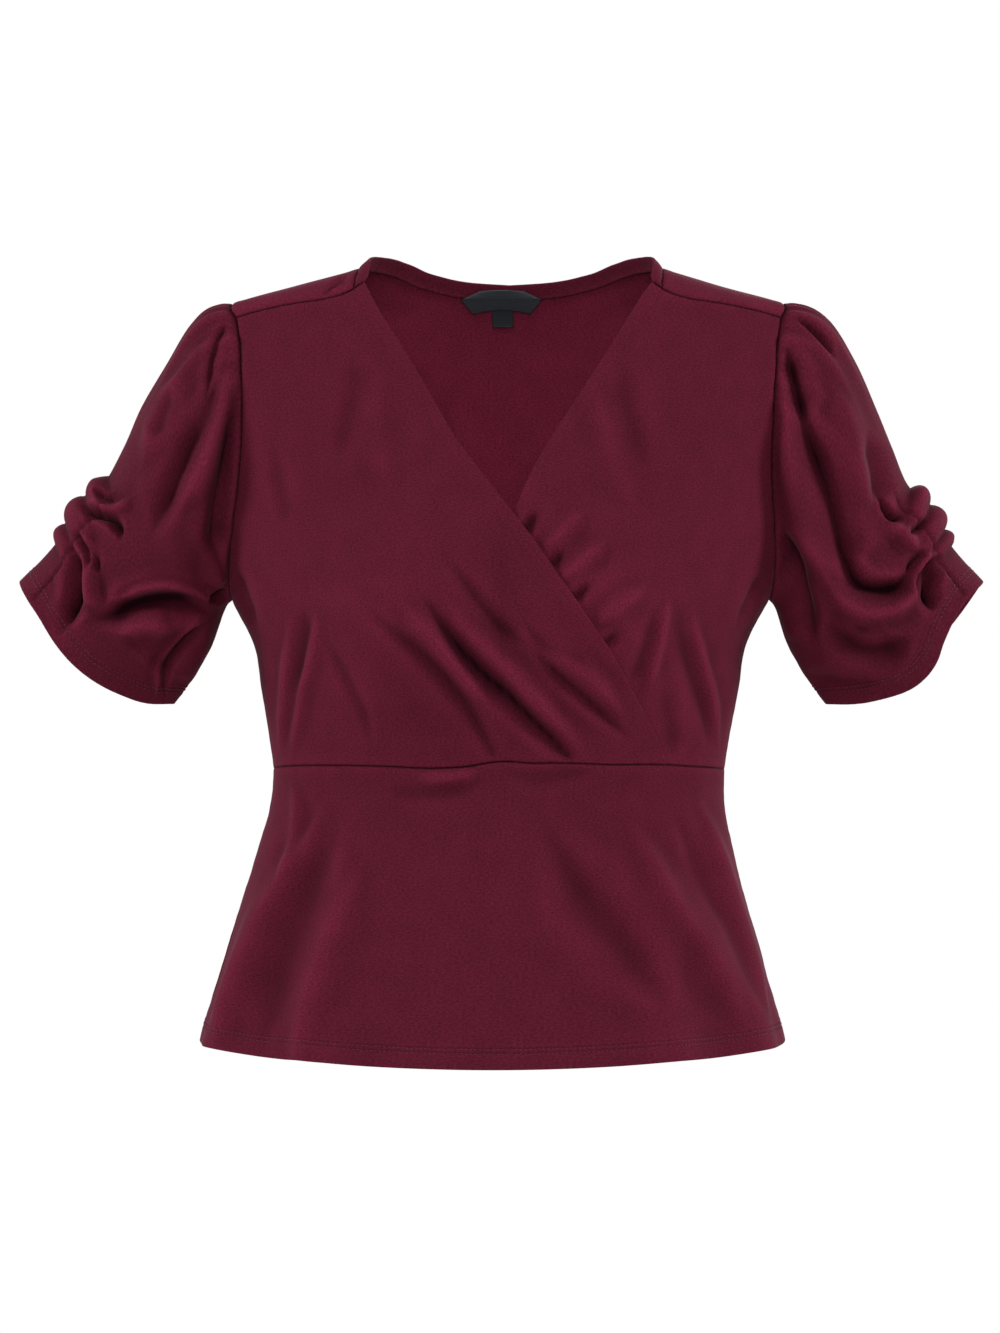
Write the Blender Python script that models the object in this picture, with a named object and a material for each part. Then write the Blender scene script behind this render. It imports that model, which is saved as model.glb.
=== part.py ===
"""A wrap-front jersey top with puffed, ruched short sleeves and a flared peplum, filled out as if worn.

Metres, +Z up; the front faces -Y and the wearer's left side is +X. The origin lies midway between the
shoulder ridges, where a wearer carries the top. Each cut piece is one closed cloth-thin solid, and
neighbours are SEAM apart. The body is a stack of oval rings read from a table of sections; a panel is a net
stretched between its own cut edges on those rings, and folds move it in or out. Tables are in millimetres
and degrees.
"""

import bmesh
import bpy
import numpy as np

MM = 0.001
WALL = 1.4 * MM  # thickness of the jersey
SEAM = 0.3 * MM  # gap between pieces along a seam
PLY_AIR = 0.8 * MM  # air between the two crossed fronts along the visible wrap edge
PLY_HOLLOW = 5 * MM  # how much deeper the under front lies where folds of the over front dip
LABEL_WALL = 1.0 * MM
LABEL_AIR = 0.5 * MM

WAIST = -347 * MM  # height of the waist seam at the sides
WAIST_RISE = 7 * MM  # how much higher that seam runs at centre front
HEM_SIDE = -540 * MM
HEM_DIP = 7.5 * MM  # how much lower the hem hangs at centre front and back
ARMHOLE_TOP = -17 * MM
ARMHOLE_LOW = -227 * MM
ARMHOLE_REACH = 50 * MM  # half its width, front to back
BAND_WIDTH = 11 * MM

SIDE = np.pi / 2  # the angle of a side seam round the body, and of the top of an armhole
SIDE_MARGIN = 0.0018  # angle that opens half of SEAM beside a side seam
BUST_X, BUST_Z = 85 * MM, -232 * MM
BUST_SPREAD_X, BUST_SPREAD_Z = 58 * MM, 68 * MM
BUST_HEIGHT = 19 * MM

SIDE_ROWS = 8  # rows of a bodice net below the underarm
OVER_COLUMNS = 24
UNDER_COLUMNS = 18
SHOULDER_COLUMNS = 9  # of half the back, along the shoulder ridge
NECK_COLUMNS = 10  # of half the back, along its neck edge behind the ridge
PEPLUM_FRONT_COLUMNS = 34
PEPLUM_BACK_COLUMNS = 28
PEPLUM_ROWS = 7

RUCHED_SEAM = np.radians(74)  # where the ruched seam runs round the sleeve
RUCHED_BACK = np.radians(55)  # how far the ruching fans out, to the back and to the front
RUCHED_FRONT = np.radians(34)


class Table:
    """Rows of named columns. A column is read at any key, between the rows, along a smooth curve."""

    def __init__(self, columns, *rows):
        table = np.array(sorted(rows), float)
        self.keys = table[:, 0]
        self.columns = {name: table[:, i] for i, name in enumerate(columns)}

    def read(self, name, key):
        keys, values = self.keys, self.columns[name]
        slopes = np.gradient(values, keys)
        i = np.clip(np.searchsorted(keys, key) - 1, 0, len(keys) - 2)
        span = keys[i + 1] - keys[i]
        t = np.clip((key - keys[i]) / span, 0, 1)
        start = t * (1 - t) ** 2 * span * slopes[i]
        end = t * t * (t - 1) * span * slopes[i + 1]
        return values[i] + (values[i + 1] - values[i]) * smooth(t) + start + end


def smooth(share):
    """A share cut to 0..1 that eases in and out."""
    share = np.clip(share, 0, 1)
    return share * share * (3 - 2 * share)


# Rings of the body: half width, depth in front and behind, squareness, and the ring's shift towards +X.
TORSO = Table(
    ("z", "half", "front", "back", "square", "lean"),
    (20, 66, 30, 40, 0.06, 9.5),
    (8, 107, 36, 46, 0.06, 9.0),
    (-5, 152, 44, 54, 0.07, 7.5),
    (-17, 195, 51, 62, 0.08, 6.0),
    (-31, 209, 58, 70, 0.09, 6.0),
    (-57, 221, 69, 80, 0.11, 6.0),
    (-94, 220, 83, 90, 0.12, 5.5),
    (-122, 214, 92, 94, 0.12, 4.5),
    (-150, 208, 100, 96, 0.12, 3.5),
    (-180, 203, 107, 96, 0.12, 2.5),
    (-205, 198, 110, 94, 0.12, 1.5),
    (-227, 190, 112, 92, 0.12, 0.5),
    (-248, 179, 111, 90, 0.12, 0.0),
    (-260, 174, 110, 88, 0.12, 0.0),
    (-290, 169, 105, 84, 0.12, 0.0),
    (-324, 163, 97, 81, 0.11, -0.5),
    (-347, 160, 93, 80, 0.10, -0.7),
    (-373, 161, 94, 84, 0.08, -1.8),
    (-402, 168, 99, 92, 0.07, -3.0),
    (-442, 179, 108, 104, 0.06, -4.6),
    (-489, 193, 118, 116, 0.05, -5.0),
    (-530, 205, 127, 126, 0.05, -5.3),
    (-548, 209, 130, 130, 0.05, -5.3),
)

# How far each front's free edge lies on its own side of the centre.
WRAP = Table(
    ("z", "over", "under"),
    (10, 112, 112),
    (-4, 102, 102),
    (-28, 86, 88),
    (-50, 72, 76),
    (-71, 59, 64),
    (-92, 46, 52),
    (-108, 36, 41),
    (-121, 28, 30),
    (-141, 13.5, 17),
    (-167, -5, 5),
    (-189, -22.5, -7),
    (-212, -40, -26),
    (-237, -58, -46),
    (-263, -76.5, -66),
    (-300, -100, -90),
    (-324, -115, -104),
    (-345, -120, -112),
)

# The forward shoulder seam, in front of the ridge: height at each distance from the centre.
SHOULDER = Table(
    ("x", "z"),
    (200, -31),
    (190, -29),
    (180, -26.3),
    (168, -23.5),
    (149, -19.8),
    (126, -16.3),
    (116, -13.5),
    (107, -8.8),
    (100, -3.5),
)
FRONT_CORNER = 101 * MM  # where a front's shoulder seam ends at the neck
BACK_CORNER = 107 * MM  # where the back's ends, the band filling the rest

# The back's neck edge, from the forward seam over the ridge to centre back, and the band's incline.
NECK = Table(
    ("share", "angle", "z", "incline"),
    (0.00, 40.4, -8.8, 1.6),
    (0.07, 48, -3.0, 1.4),
    (0.14, 61, 3.8, 1.2),
    (0.20, 76, 7.6, 1.1),
    (0.25, 90, 8.6, 1.05),
    (0.34, 113, 8.1, 1.0),
    (0.49, 141, 2.3, 0.8),
    (0.66, 158, -5.0, 0.55),
    (0.81, 168, -8.2, 0.4),
    (1.00, 180, -9.1, 0.35),
)
NECK_RIDGE_SHARE = 0.25
NECK_RIDGE = 8.6 * MM

# Where the rows of the panels meet the armhole, and the sleeve's columns with them: -90 degrees is the
# underarm, 0 the front, 90 the top, 180 the back. The forward shoulder seam starts at 63.
FRONT_TURNS = np.radians([-90, -72, -55, -39, -24, -10, 3, 15, 26, 36, 45, 54, 63])
STRIP_TURNS = np.radians([63, 72, 81, 90])
BACK_TURNS = np.radians([270, 254, 238, 222, 206, 190, 175, 160, 147, 135, 126, 117, 108, 99, 90])
SLEEVE_TURNS = np.concatenate([FRONT_TURNS, STRIP_TURNS[1:], BACK_TURNS[-2::-1]])
STRIP_ROWS = len(STRIP_TURNS) - 1

# Rings of a sleeve: its outermost and underarm points, its depths, and how far it bows down.
SLEEVE = Table(
    ("along", "top_x", "top_z", "low_x", "low_z", "front", "back", "bow"),
    (0.00, 195, -17, 190, -227, 50, 50, 0),
    (0.06, 210, -19, 193, -229, 54, 52, 0),
    (0.15, 226, -29, 196, -234, 57, 54, 0),
    (0.27, 243, -60, 199, -243, 59, 55, 2),
    (0.40, 258, -95, 203, -255, 58, 54, 4),
    (0.52, 271, -122, 207, -264, 55, 52, 6),
    (0.60, 283, -142, 211, -271, 53, 50, 8),
    (0.70, 298, -155, 216, -280, 50, 47, 11),
    (0.80, 311, -174, 221, -287, 47, 44, 14),
    (0.88, 318, -187, 225, -292, 44, 41, 17),
    (0.94, 328, -199.5, 228, -296, 42, 39, 20),
    (1.00, 342, -214.5, 232, -301, 40, 37, 23),
)
SLEEVE_ROWS = np.concatenate(
    [[0, 0.02, 0.06, 0.11, 0.17, 0.25, 0.34, 0.43, 0.52], np.linspace(0.58, 0.9, 15), [0.935, 0.97, 1]]
)

# Soft folds in the front view: each follows a curve with a middle control point. Negative heights dip.
# x0, z0, x1, z1, x2, z2, half-width, height
OVER_FOLDS = (
    (-64, -204, -34, -248, 48, -347, 10, -6.0),
    (-74, -228, -48, -277, 2, -347, 9, -4.5),
    (0, -236, 48, -290, 99, -347, 9, -5.0),
    (-22, -200, 16, -247, 44, -278, 10, -2.5),
    (-127, -222, -132, -284, -142, -347, 8, 3.5),
)
UNDER_FOLDS = (
    (116, -216, 113, -262, 104, -300, 8, 3.5),
    (130, -226, 143, -290, 152, -347, 8, 3.5),
)
RIGHT_SLEEVE_FOLDS = (
    (299, -184, 299, -219, 293, -252, 9, -7.0),
    (292, -240, 240, -215, 195, -236, 9, -5.0),
    (289, -164, 275, -170, 258, -196, 7, -4.0),
    (200, -60, 206, -117, 222, -176, 11, -4.0),
)
LEFT_SLEEVE_FOLDS = (
    (236, -124, 238, -266, 300, -186, 9, -6.0),
    (226, -176, 236, -300, 296, -248, 9, -4.0),
    (305, -200, 300, -228, 296, -252, 9, -5.0),
    (270, -148, 274, -158, 284, -170, 7, -4.0),
    (208, -146, 196, -212, 212, -270, 10, -4.0),
)

# Gathers where a sleeve is set into the armhole: angle round it, half-width, reach down the sleeve, height.
HEAD_GATHERS = (
    (45, 6, 0.17, 3.0),
    (63, 6, 0.24, 3.8),
    (81, 6, 0.20, 3.4),
    (99, 6, 0.22, 3.4),
    (117, 6, 0.18, 3.2),
    (135, 6, 0.15, 2.8),
)

# Lobes of the ruching down the outer arm: where each starts and ends along the sleeve, and its height.
RIGHT_LOBES = ((0.59, 0.69, 6.5), (0.69, 0.79, 7.0), (0.79, 0.875, 5.0))
LEFT_LOBES = ((0.61, 0.71, 6.5), (0.71, 0.81, 7.0), (0.81, 0.885, 5.0))

# Flutes of the peplum: angle round the body, half-width in degrees, height at the hem.
FLUTES = (
    (-66, 10, 7.0),
    (-36, 9, 7.0),
    (0, 17, -4.0),
    (36, 9, 7.0),
    (62, 10, 7.0),
    (115, 12, 6.0),
    (147, 12, 7.0),
    (180, 14, -5.0),
    (213, 12, 7.0),
    (245, 12, 6.0),
)


def fold_heights(x, z, folds):
    """Sum of the folds' heights at points of the front view."""
    total = np.zeros_like(x)
    steps = np.linspace(0, 1, 15)
    for x0, z0, x1, z1, x2, z2, width, height in folds:
        line_x = ((1 - steps) ** 2 * x0 + 2 * steps * (1 - steps) * x1 + steps**2 * x2) * MM
        line_z = ((1 - steps) ** 2 * z0 + 2 * steps * (1 - steps) * z1 + steps**2 * z2) * MM
        nearest, reached = np.full(x.shape, np.inf), np.zeros(x.shape)
        for i in range(len(steps) - 1):
            run_x, run_z = line_x[i + 1] - line_x[i], line_z[i + 1] - line_z[i]
            t = ((x - line_x[i]) * run_x + (z - line_z[i]) * run_z) / (run_x**2 + run_z**2)
            t = np.clip(t, 0, 1)
            away = np.hypot(x - line_x[i] - t * run_x, z - line_z[i] - t * run_z)
            reached = np.where(away < nearest, steps[i] + t * steps[1], reached)
            nearest = np.minimum(away, nearest)
        ends = smooth(reached / 0.3) * smooth((1 - reached) / 0.12)
        total += height * MM * ends * np.exp(-((nearest / (width * MM)) ** 2))
    return total


def unit(vectors):
    return vectors / np.linalg.norm(vectors, axis=-1, keepdims=True)


def torso(angle, z):
    """Points of the body form. Angle 0 is centre front, a quarter turn the wearer's left side."""
    sine, cosine = np.sin(angle), np.cos(angle)
    half = TORSO.read("half", z / MM) * MM
    depth = np.where(cosine > 0, TORSO.read("front", z / MM), TORSO.read("back", z / MM)) * MM
    x = half * sine
    y = -depth * cosine * (1 + TORSO.read("square", z / MM) * sine**2)
    bust = np.exp(-(((np.abs(x) - BUST_X) / BUST_SPREAD_X) ** 2))
    bust *= np.exp(-(((z - BUST_Z) / BUST_SPREAD_Z) ** 2))
    return np.stack([x, y - BUST_HEIGHT * bust * np.clip(cosine, 0, 1), z], -1)


def torso_normal(angle, z):
    """Outward normals of the body form."""
    step = 1e-4
    round_body = torso(angle + step, z) - torso(angle - step, z)
    upwards = torso(angle, z + step) - torso(angle, z - step)
    return unit(np.cross(round_body, upwards))


def lean(points):
    """The top hangs a little askew: its shoulders sit off to +X, its hem to -X."""
    shift = TORSO.read("lean", points[:, 2] / MM) * MM
    return points + shift[:, None] * [1, 0, 0]


def angle_at(x, z):
    """The angle, on the front half, of the form's point that lies x from the centre."""
    return np.arcsin(np.clip(x / TORSO.read("half", z / MM) / MM, -1, 1))


def waist_height(angle):
    return WAIST + WAIST_RISE * np.clip(np.cos(angle), 0, 1) ** 3


def armhole(turn):
    """(angle, z) of the left armhole. Turn is -90 degrees at the underarm, 0 in front, 90 on top."""
    z = (ARMHOLE_TOP + ARMHOLE_LOW) / 2 + (ARMHOLE_TOP - ARMHOLE_LOW) / 2 * np.sin(turn)
    depth = np.where(np.cos(turn) > 0, TORSO.read("front", z / MM), TORSO.read("back", z / MM)) * MM
    flat = ARMHOLE_REACH * np.cos(turn) / depth
    cosine = flat
    for _ in range(12):
        cosine = flat / (1 + TORSO.read("square", z / MM) * (1 - cosine**2))
    return np.arccos(cosine), z


def outer_edge(share, turns, margin):
    """(angle, z) up a bodice's side seam and then round its part of the armhole."""
    rows = len(turns) - 1
    below = SIDE_ROWS / (SIDE_ROWS + rows)
    row = np.clip((share - below) / (1 - below), 0, 1) * rows
    arm_angle, arm_z = armhole(np.interp(row, np.arange(rows + 1), turns))
    on_seam = share < below
    angle = np.where(on_seam, SIDE, arm_angle) + margin * np.clip(1 - row, 0, 1)
    return angle, np.where(on_seam, WAIST + (ARMHOLE_LOW - WAIST) * share / below, arm_z)


def shoulder_seam(share, corner):
    """(angle, z) of the forward shoulder seam, from the armhole to a neck corner."""
    arm_angle, arm_z = armhole(np.full_like(share, STRIP_TURNS[0]))
    arm_x = torso(arm_angle, arm_z)[:, 0]
    x = arm_x + (corner - arm_x) * share
    off = arm_z - SHOULDER.read("z", arm_x / MM) * MM
    z = SHOULDER.read("z", x / MM) * MM + off * (1 - share) ** 2
    return np.where(share > 0, angle_at(x, z), arm_angle), z


def shoulder_ridge(share):
    """(angle, z) of the ridge from the top of the armhole to the neck."""
    return SIDE + 0 * share, ARMHOLE_TOP + (NECK_RIDGE - ARMHOLE_TOP) * share


def girth(angle, z, face):
    """About how far round its ring a point lies from the centre line of a face, in front or at the back."""
    half, depth = TORSO.read("half", z / MM) * MM, TORSO.read(face, z / MM) * MM
    turned = angle if face == "front" else np.pi - angle
    return half * np.sin(turned) + np.sign(turned) * depth * (1 - np.cos(turned))


def angle_for(distance, z, face):
    """The angle of the point that lies a girth from the centre line of a face."""
    half, depth = TORSO.read("half", z / MM) * MM, TORSO.read(face, z / MM) * MM
    sine = np.clip((np.abs(distance) - depth) / np.hypot(half, depth), -1, 1)
    turned = np.sign(distance) * (np.arctan2(depth, half) + np.arcsin(sine))
    return turned if face == "front" else np.pi - turned


def stretched(u, v, face, bottom, top, start, end):
    """(angle, z) of a net stretched over a face between four edges, each a function of a share."""

    def on_face(edge, share):
        angle, z = edge(share)
        return np.stack([girth(angle, z, face), z])

    zero, one = np.zeros(1), np.ones(1)
    net = (1 - v) * on_face(bottom, u) + v * on_face(top, u)
    net += (1 - u) * on_face(start, v) + u * on_face(end, v)
    net -= (1 - v) * ((1 - u) * on_face(bottom, zero) + u * on_face(bottom, one))
    net -= v * ((1 - u) * on_face(top, zero) + u * on_face(top, one))
    return angle_for(net[0], net[1], face), net[1]


def front_panel(u, v, edge, own_side):
    """A front: u runs from its side seam and armhole to its wrap edge, v from the waist to the shoulder."""
    corner_z = shoulder_seam(np.ones(1), FRONT_CORNER)[1][0]
    low_angle = angle_at(WRAP.read(edge, WAIST / MM) * MM, WAIST)

    def wrap_edge(share):
        foot = waist_height(low_angle)
        z = foot + (corner_z - foot) * share
        x = WRAP.read(edge, z / MM) + (FRONT_CORNER / MM - WRAP.read(edge, corner_z / MM)) * share**8
        return angle_at(x * MM, z), z

    def bottom(share):
        angle = SIDE - SIDE_MARGIN + (wrap_edge(np.zeros(1))[0] - SIDE + SIDE_MARGIN) * share
        return angle, waist_height(angle)

    def top(share):
        angle, z = shoulder_seam(share, FRONT_CORNER)
        return angle, z - SEAM * np.sin(np.pi * np.minimum(share + 0.1, 0.5))

    def outer(share):
        return outer_edge(share, FRONT_TURNS, -SIDE_MARGIN)

    angle, z = stretched(u, v, "front", bottom, top, outer, wrap_edge)
    angle = angle * own_side
    points = torso(angle, z)
    if edge == "over":
        height = fold_heights(points[:, 0], z, OVER_FOLDS)
    else:
        covered = -WRAP.read("over", z / MM) * MM - points[:, 0]
        height = fold_heights(points[:, 0], z, UNDER_FOLDS)
        height -= (WALL + PLY_AIR) * smooth(1 + covered / (25 * MM))
        height -= PLY_HOLLOW * smooth((covered - 3 * MM) / (30 * MM))
    return lean(points + torso_normal(angle, z) * height[:, None])


def neck_edge(share):
    """(angle, z) of the back's neck edge on the wearer's left, from the shoulder seam to centre back."""
    return np.radians(NECK.read("angle", share)), NECK.read("z", share) * MM


def back_panel(u, v):
    """The back up to its shoulder ridges and neck edge. u runs from one side to the other."""
    on_ridge = SHOULDER_COLUMNS / (SHOULDER_COLUMNS + NECK_COLUMNS)

    def bottom(share):
        return (SIDE + SIDE_MARGIN) + (SIDE - SIDE_MARGIN) * share, WAIST + 0 * share

    def top(share):
        ridge = shoulder_ridge(np.clip(share / on_ridge, 0, 1))
        past = np.clip((share - on_ridge) / (1 - on_ridge), 0, 1)
        neck = neck_edge(NECK_RIDGE_SHARE + (1 - NECK_RIDGE_SHARE) * past)
        return [np.where(share < on_ridge, a, b) for a, b in zip(ridge, neck)]

    def outer(share):
        return outer_edge(share, BACK_TURNS, SIDE_MARGIN)

    def centre(share):
        return 2 * SIDE + 0 * share, WAIST + (neck_edge(np.ones(1))[1] - WAIST) * share

    angle, z = stretched(1 - np.abs(2 * u - 1), v, "back", bottom, top, outer, centre)
    return lean(torso(angle * np.where(u > 0.5, 1, -1), z))


def shoulder_strip(u, v, own_side):
    """The strip of the back in front of the ridge: u from the armhole to the neck, v from seam to ridge."""

    def seam(share):
        return shoulder_seam(share, BACK_CORNER)

    def arm(share):
        return armhole(np.interp(share, np.linspace(0, 1, STRIP_ROWS + 1), STRIP_TURNS))

    def neck(share):
        return neck_edge(NECK_RIDGE_SHARE * share)

    angle, z = stretched(u, v, "front", seam, shoulder_ridge, arm, neck)
    return lean(torso(angle * own_side, z))


def neck_band(u, v):
    """The band along the neck edge, from one forward shoulder seam round the back to the other."""
    ahead = np.linspace(0, NECK_RIDGE_SHARE, STRIP_ROWS + 1)
    behind = np.linspace(NECK_RIDGE_SHARE, 1, NECK_COLUMNS + 1)
    shares = np.concatenate([ahead, behind[1:]])
    share = np.interp(1 - np.abs(2 * u - 1), np.linspace(0, 1, len(shares)), shares)
    angle, z = neck_edge(share)
    foot = torso(angle * np.where(u > 0.5, 1, -1), z)
    inward = unit(np.array([0, 14 * MM, 0]) - foot * [1, 1, 0])
    across = unit(inward * NECK.read("incline", share)[:, None] + [0, 0, 1])
    return lean(foot + across * (SEAM + BAND_WIDTH * v)[:, None])


def peplum_panel(u, v, middle):
    """Half of the peplum, from the hem up to the waist seam, with its flutes."""
    angle = middle + (2 * u - 1) * (SIDE - SIDE_MARGIN)
    top = waist_height(angle) - SEAM
    hem = HEM_SIDE - HEM_DIP * np.cos(angle) ** 2
    z = hem + (top - hem) * v
    height = np.zeros_like(u)
    for flute, width, rise in FLUTES:
        away = (np.degrees(angle) - flute + 180) % 360 - 180
        height += rise * MM * np.exp(-((away / width) ** 2))
    height *= (1 - v) ** 1.3
    return lean(torso(angle, z) + torso_normal(angle, z) * height[:, None])


def sleeve_ring(turn, along):
    """The smooth sleeve, without gathers and folds, for the wearer's left arm."""
    top = np.stack([SLEEVE.read("top_x", along), SLEEVE.read("top_z", along)], -1) * MM
    low = np.stack([SLEEVE.read("low_x", along), SLEEVE.read("low_z", along)], -1) * MM
    sine, cosine = np.sin(turn), np.cos(turn)
    depth = np.where(cosine > 0, SLEEVE.read("front", along), SLEEVE.read("back", along)) * MM
    hang = np.where(cosine > 0, cosine**2, 0.87 * np.abs(cosine) ** 1.2 * (1 + 0.35 * sine))
    bow = SLEEVE.read("bow", along) * MM * hang
    outward = unit(top - low)
    x = (top + low)[:, 0] / 2 + (top - low)[:, 0] / 2 * sine + outward[:, 1] * bow
    z = (top + low)[:, 1] / 2 + (top - low)[:, 1] / 2 * sine - outward[:, 0] * bow
    return np.stack([x, -depth * cosine, z], -1)


def sleeve_base(turn, along):
    """The smooth sleeve with its head eased into the armhole seam."""
    off = torso(*armhole(turn)) - sleeve_ring(turn, np.zeros_like(along))
    return sleeve_ring(turn, along) + off * (1 - smooth(along / 0.3))[:, None]


def sleeve_normal(turn, along):
    before, after = np.clip(along - 0.01, 0, 1), np.clip(along + 0.01, 0, 1)
    down_arm = sleeve_base(turn, after) - sleeve_base(turn, before)
    round_arm = sleeve_base(turn + 0.02, along) - sleeve_base(turn - 0.02, along)
    return unit(np.cross(round_arm, down_arm)) * -1


def gathered_head(turn, along):
    """Height of the gathers below the armhole seam."""
    height = np.zeros_like(turn)
    for gather, width, reach, rise in HEAD_GATHERS:
        fade = smooth(along / 0.05) * np.exp(-((along / reach) ** 2))
        height += rise * MM * fade * np.exp(-(((np.degrees(turn) - gather) / width) ** 2))
    return height


def ruching(turn, along, lobes):
    """Height of the lobes that the gathered outer seam throws up."""
    spread = np.where(turn > RUCHED_SEAM, RUCHED_BACK, RUCHED_FRONT)
    height = np.zeros_like(turn)
    for start, end, rise in lobes:
        height += rise * MM * np.sin(np.pi * np.clip((along - start) / (end - start), 0, 1)) ** 0.8
    return height * np.exp(-(((turn - RUCHED_SEAM) / spread) ** 2))


def sleeve_panel(u, v, own_side, lobes, folds):
    """A sleeve: u runs round it from the underarm by way of the front, v from the hem to the armhole."""
    turn = np.interp(u, np.linspace(0, 1, len(SLEEVE_TURNS)), SLEEVE_TURNS)
    along = np.interp(1 - v, np.linspace(0, 1, len(SLEEVE_ROWS)), SLEEVE_ROWS)
    points, normals = sleeve_base(turn, along), sleeve_normal(turn, along)
    height = fold_heights(points[:, 0], points[:, 2], folds)
    height *= np.clip(-normals[:, 1], 0, 1) * smooth(along / 0.12)
    height += gathered_head(turn, along) + ruching(turn, along, lobes)
    down_arm = unit(sleeve_base(turn, np.full_like(along, 0.04)) - sleeve_base(turn, 0 * along))
    points += normals * height[:, None] + down_arm * (SEAM * (1 - smooth(along / 0.02)))[:, None]
    return lean(points * [own_side, 1, 1])


def label_surface(x, z):
    """The inner faces of the back and the neck band behind a label."""
    edge = neck_edge(np.ones(1))[1]
    below = np.minimum(z, edge)
    depth = torso(2 * SIDE - angle_at(x, below), below)[:, 1]
    depth = depth - 0.4 * np.maximum(z - edge, 0) - (WALL + LABEL_AIR) * 1.25
    return np.stack([x, depth, z], -1)


def main_label(u, v):
    """A woven ribbon with mitred ends, sewn over the band's seam at centre back."""
    wide = np.interp(v, [0, 0.62, 1], [46, 60, 36]) * MM
    return label_surface((u - 0.5) * wide + 1.1 * MM, (-18.8 + 17.4 * v) * MM)


def size_label(u, v):
    return label_surface((u - 0.5) * 16 * MM + 2.9 * MM, (-27.4 + 8.2 * v) * MM)


def cloth(collection, material, name, patches, wall=WALL):
    """One cut piece. A patch is a grid laid by place(u, v), and its face looks outward if facing is 1. The
    wall is on the inner side, and patches that meet are joined."""
    mesh = bmesh.new()
    inward = mesh.verts.layers.float_vector.new("inward")
    for place, columns, rows, facing in patches:
        grid = bmesh.ops.create_grid(mesh, x_segments=columns, y_segments=rows, size=0.5)["verts"]
        u, v = np.array([vertex.co[:2] for vertex in grid]).T + 0.5
        walls = -facing * wall * surface_normals(place, u, v)
        for vertex, point, across in zip(grid, place(u, v), walls):
            vertex.co, vertex[inward] = point, across
    bmesh.ops.remove_doubles(mesh, verts=mesh.verts, dist=0.05 * MM)
    copied = bmesh.ops.extrude_face_region(mesh, geom=mesh.faces, use_keep_orig=True)["geom"]
    for vertex in (item for item in copied if isinstance(item, bmesh.types.BMVert)):
        vertex.co += vertex[inward]
    bmesh.ops.recalc_face_normals(mesh, faces=mesh.faces)
    if mesh.calc_volume(signed=True) < 0:
        bmesh.ops.reverse_faces(mesh, faces=mesh.faces)
    data = bpy.data.meshes.new(name)
    mesh.to_mesh(data)
    mesh.free()
    data.materials.append(material)
    collection.objects.link(bpy.data.objects.new(name, data))


def surface_normals(place, u, v):
    step = 2e-3
    along_u = place(np.minimum(u + step, 1), v) - place(np.maximum(u - step, 0), v)
    along_v = place(u, np.minimum(v + step, 1)) - place(u, np.maximum(v - step, 0))
    return unit(np.cross(along_u, along_v))


def dyed(name, colour, roughness):
    material = bpy.data.materials.new(name)
    material.use_nodes = True
    shader = material.node_tree.nodes["Principled BSDF"]
    shader.inputs["Base Color"].default_value = (*colour, 1)
    shader.inputs["Roughness"].default_value = roughness
    return material


def bodice(collection, jersey):
    rows = SIDE_ROWS + len(FRONT_TURNS) - 1
    over = (lambda u, v: front_panel(u, v, "over", -1), OVER_COLUMNS, rows, 1)
    under = (lambda u, v: front_panel(u, v, "under", 1), UNDER_COLUMNS, rows, -1)
    cloth(collection, jersey, "front_over", [over])
    cloth(collection, jersey, "front_under", [under])
    columns = 2 * (SHOULDER_COLUMNS + NECK_COLUMNS)
    main = (back_panel, columns, SIDE_ROWS + len(BACK_TURNS) - 1, -1)
    right = (lambda u, v: shoulder_strip(u, v, -1), SHOULDER_COLUMNS, STRIP_ROWS, 1)
    left = (lambda u, v: shoulder_strip(u, v, 1), SHOULDER_COLUMNS, STRIP_ROWS, -1)
    cloth(collection, jersey, "back", [main, right, left])
    cloth(collection, jersey, "neck_band", [(neck_band, 2 * (STRIP_ROWS + NECK_COLUMNS), 2, -1)])


def peplum(collection, jersey):
    front = (lambda u, v: peplum_panel(u, v, 0), PEPLUM_FRONT_COLUMNS, PEPLUM_ROWS, 1)
    back = (lambda u, v: peplum_panel(u, v, 2 * SIDE), PEPLUM_BACK_COLUMNS, PEPLUM_ROWS, 1)
    cloth(collection, jersey, "peplum_front", [front])
    cloth(collection, jersey, "peplum_back", [back])


def sleeves(collection, jersey):
    columns, rows = len(SLEEVE_TURNS) - 1, len(SLEEVE_ROWS) - 1
    right = (lambda u, v: sleeve_panel(u, v, -1, RIGHT_LOBES, RIGHT_SLEEVE_FOLDS), columns, rows, -1)
    left = (lambda u, v: sleeve_panel(u, v, 1, LEFT_LOBES, LEFT_SLEEVE_FOLDS), columns, rows, 1)
    cloth(collection, jersey, "sleeve_right", [right])
    cloth(collection, jersey, "sleeve_left", [left])


def labels(collection, satin):
    cloth(collection, satin, "label_main", [(main_label, 6, 5, -1)], LABEL_WALL)
    cloth(collection, satin, "label_size", [(size_label, 2, 1, -1)], LABEL_WALL)


def build():
    for old in list(bpy.data.objects):
        bpy.data.objects.remove(old)
    collection = bpy.data.collections.new("wrap_top")
    bpy.context.scene.collection.children.link(collection)
    jersey = dyed("burgundy_jersey", (0.105, 0.010, 0.026), 0.85)
    satin = dyed("black_woven_satin", (0.012, 0.013, 0.016), 0.5)
    bodice(collection, jersey)
    peplum(collection, jersey)
    sleeves(collection, jersey)
    labels(collection, satin)


build()
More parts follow.
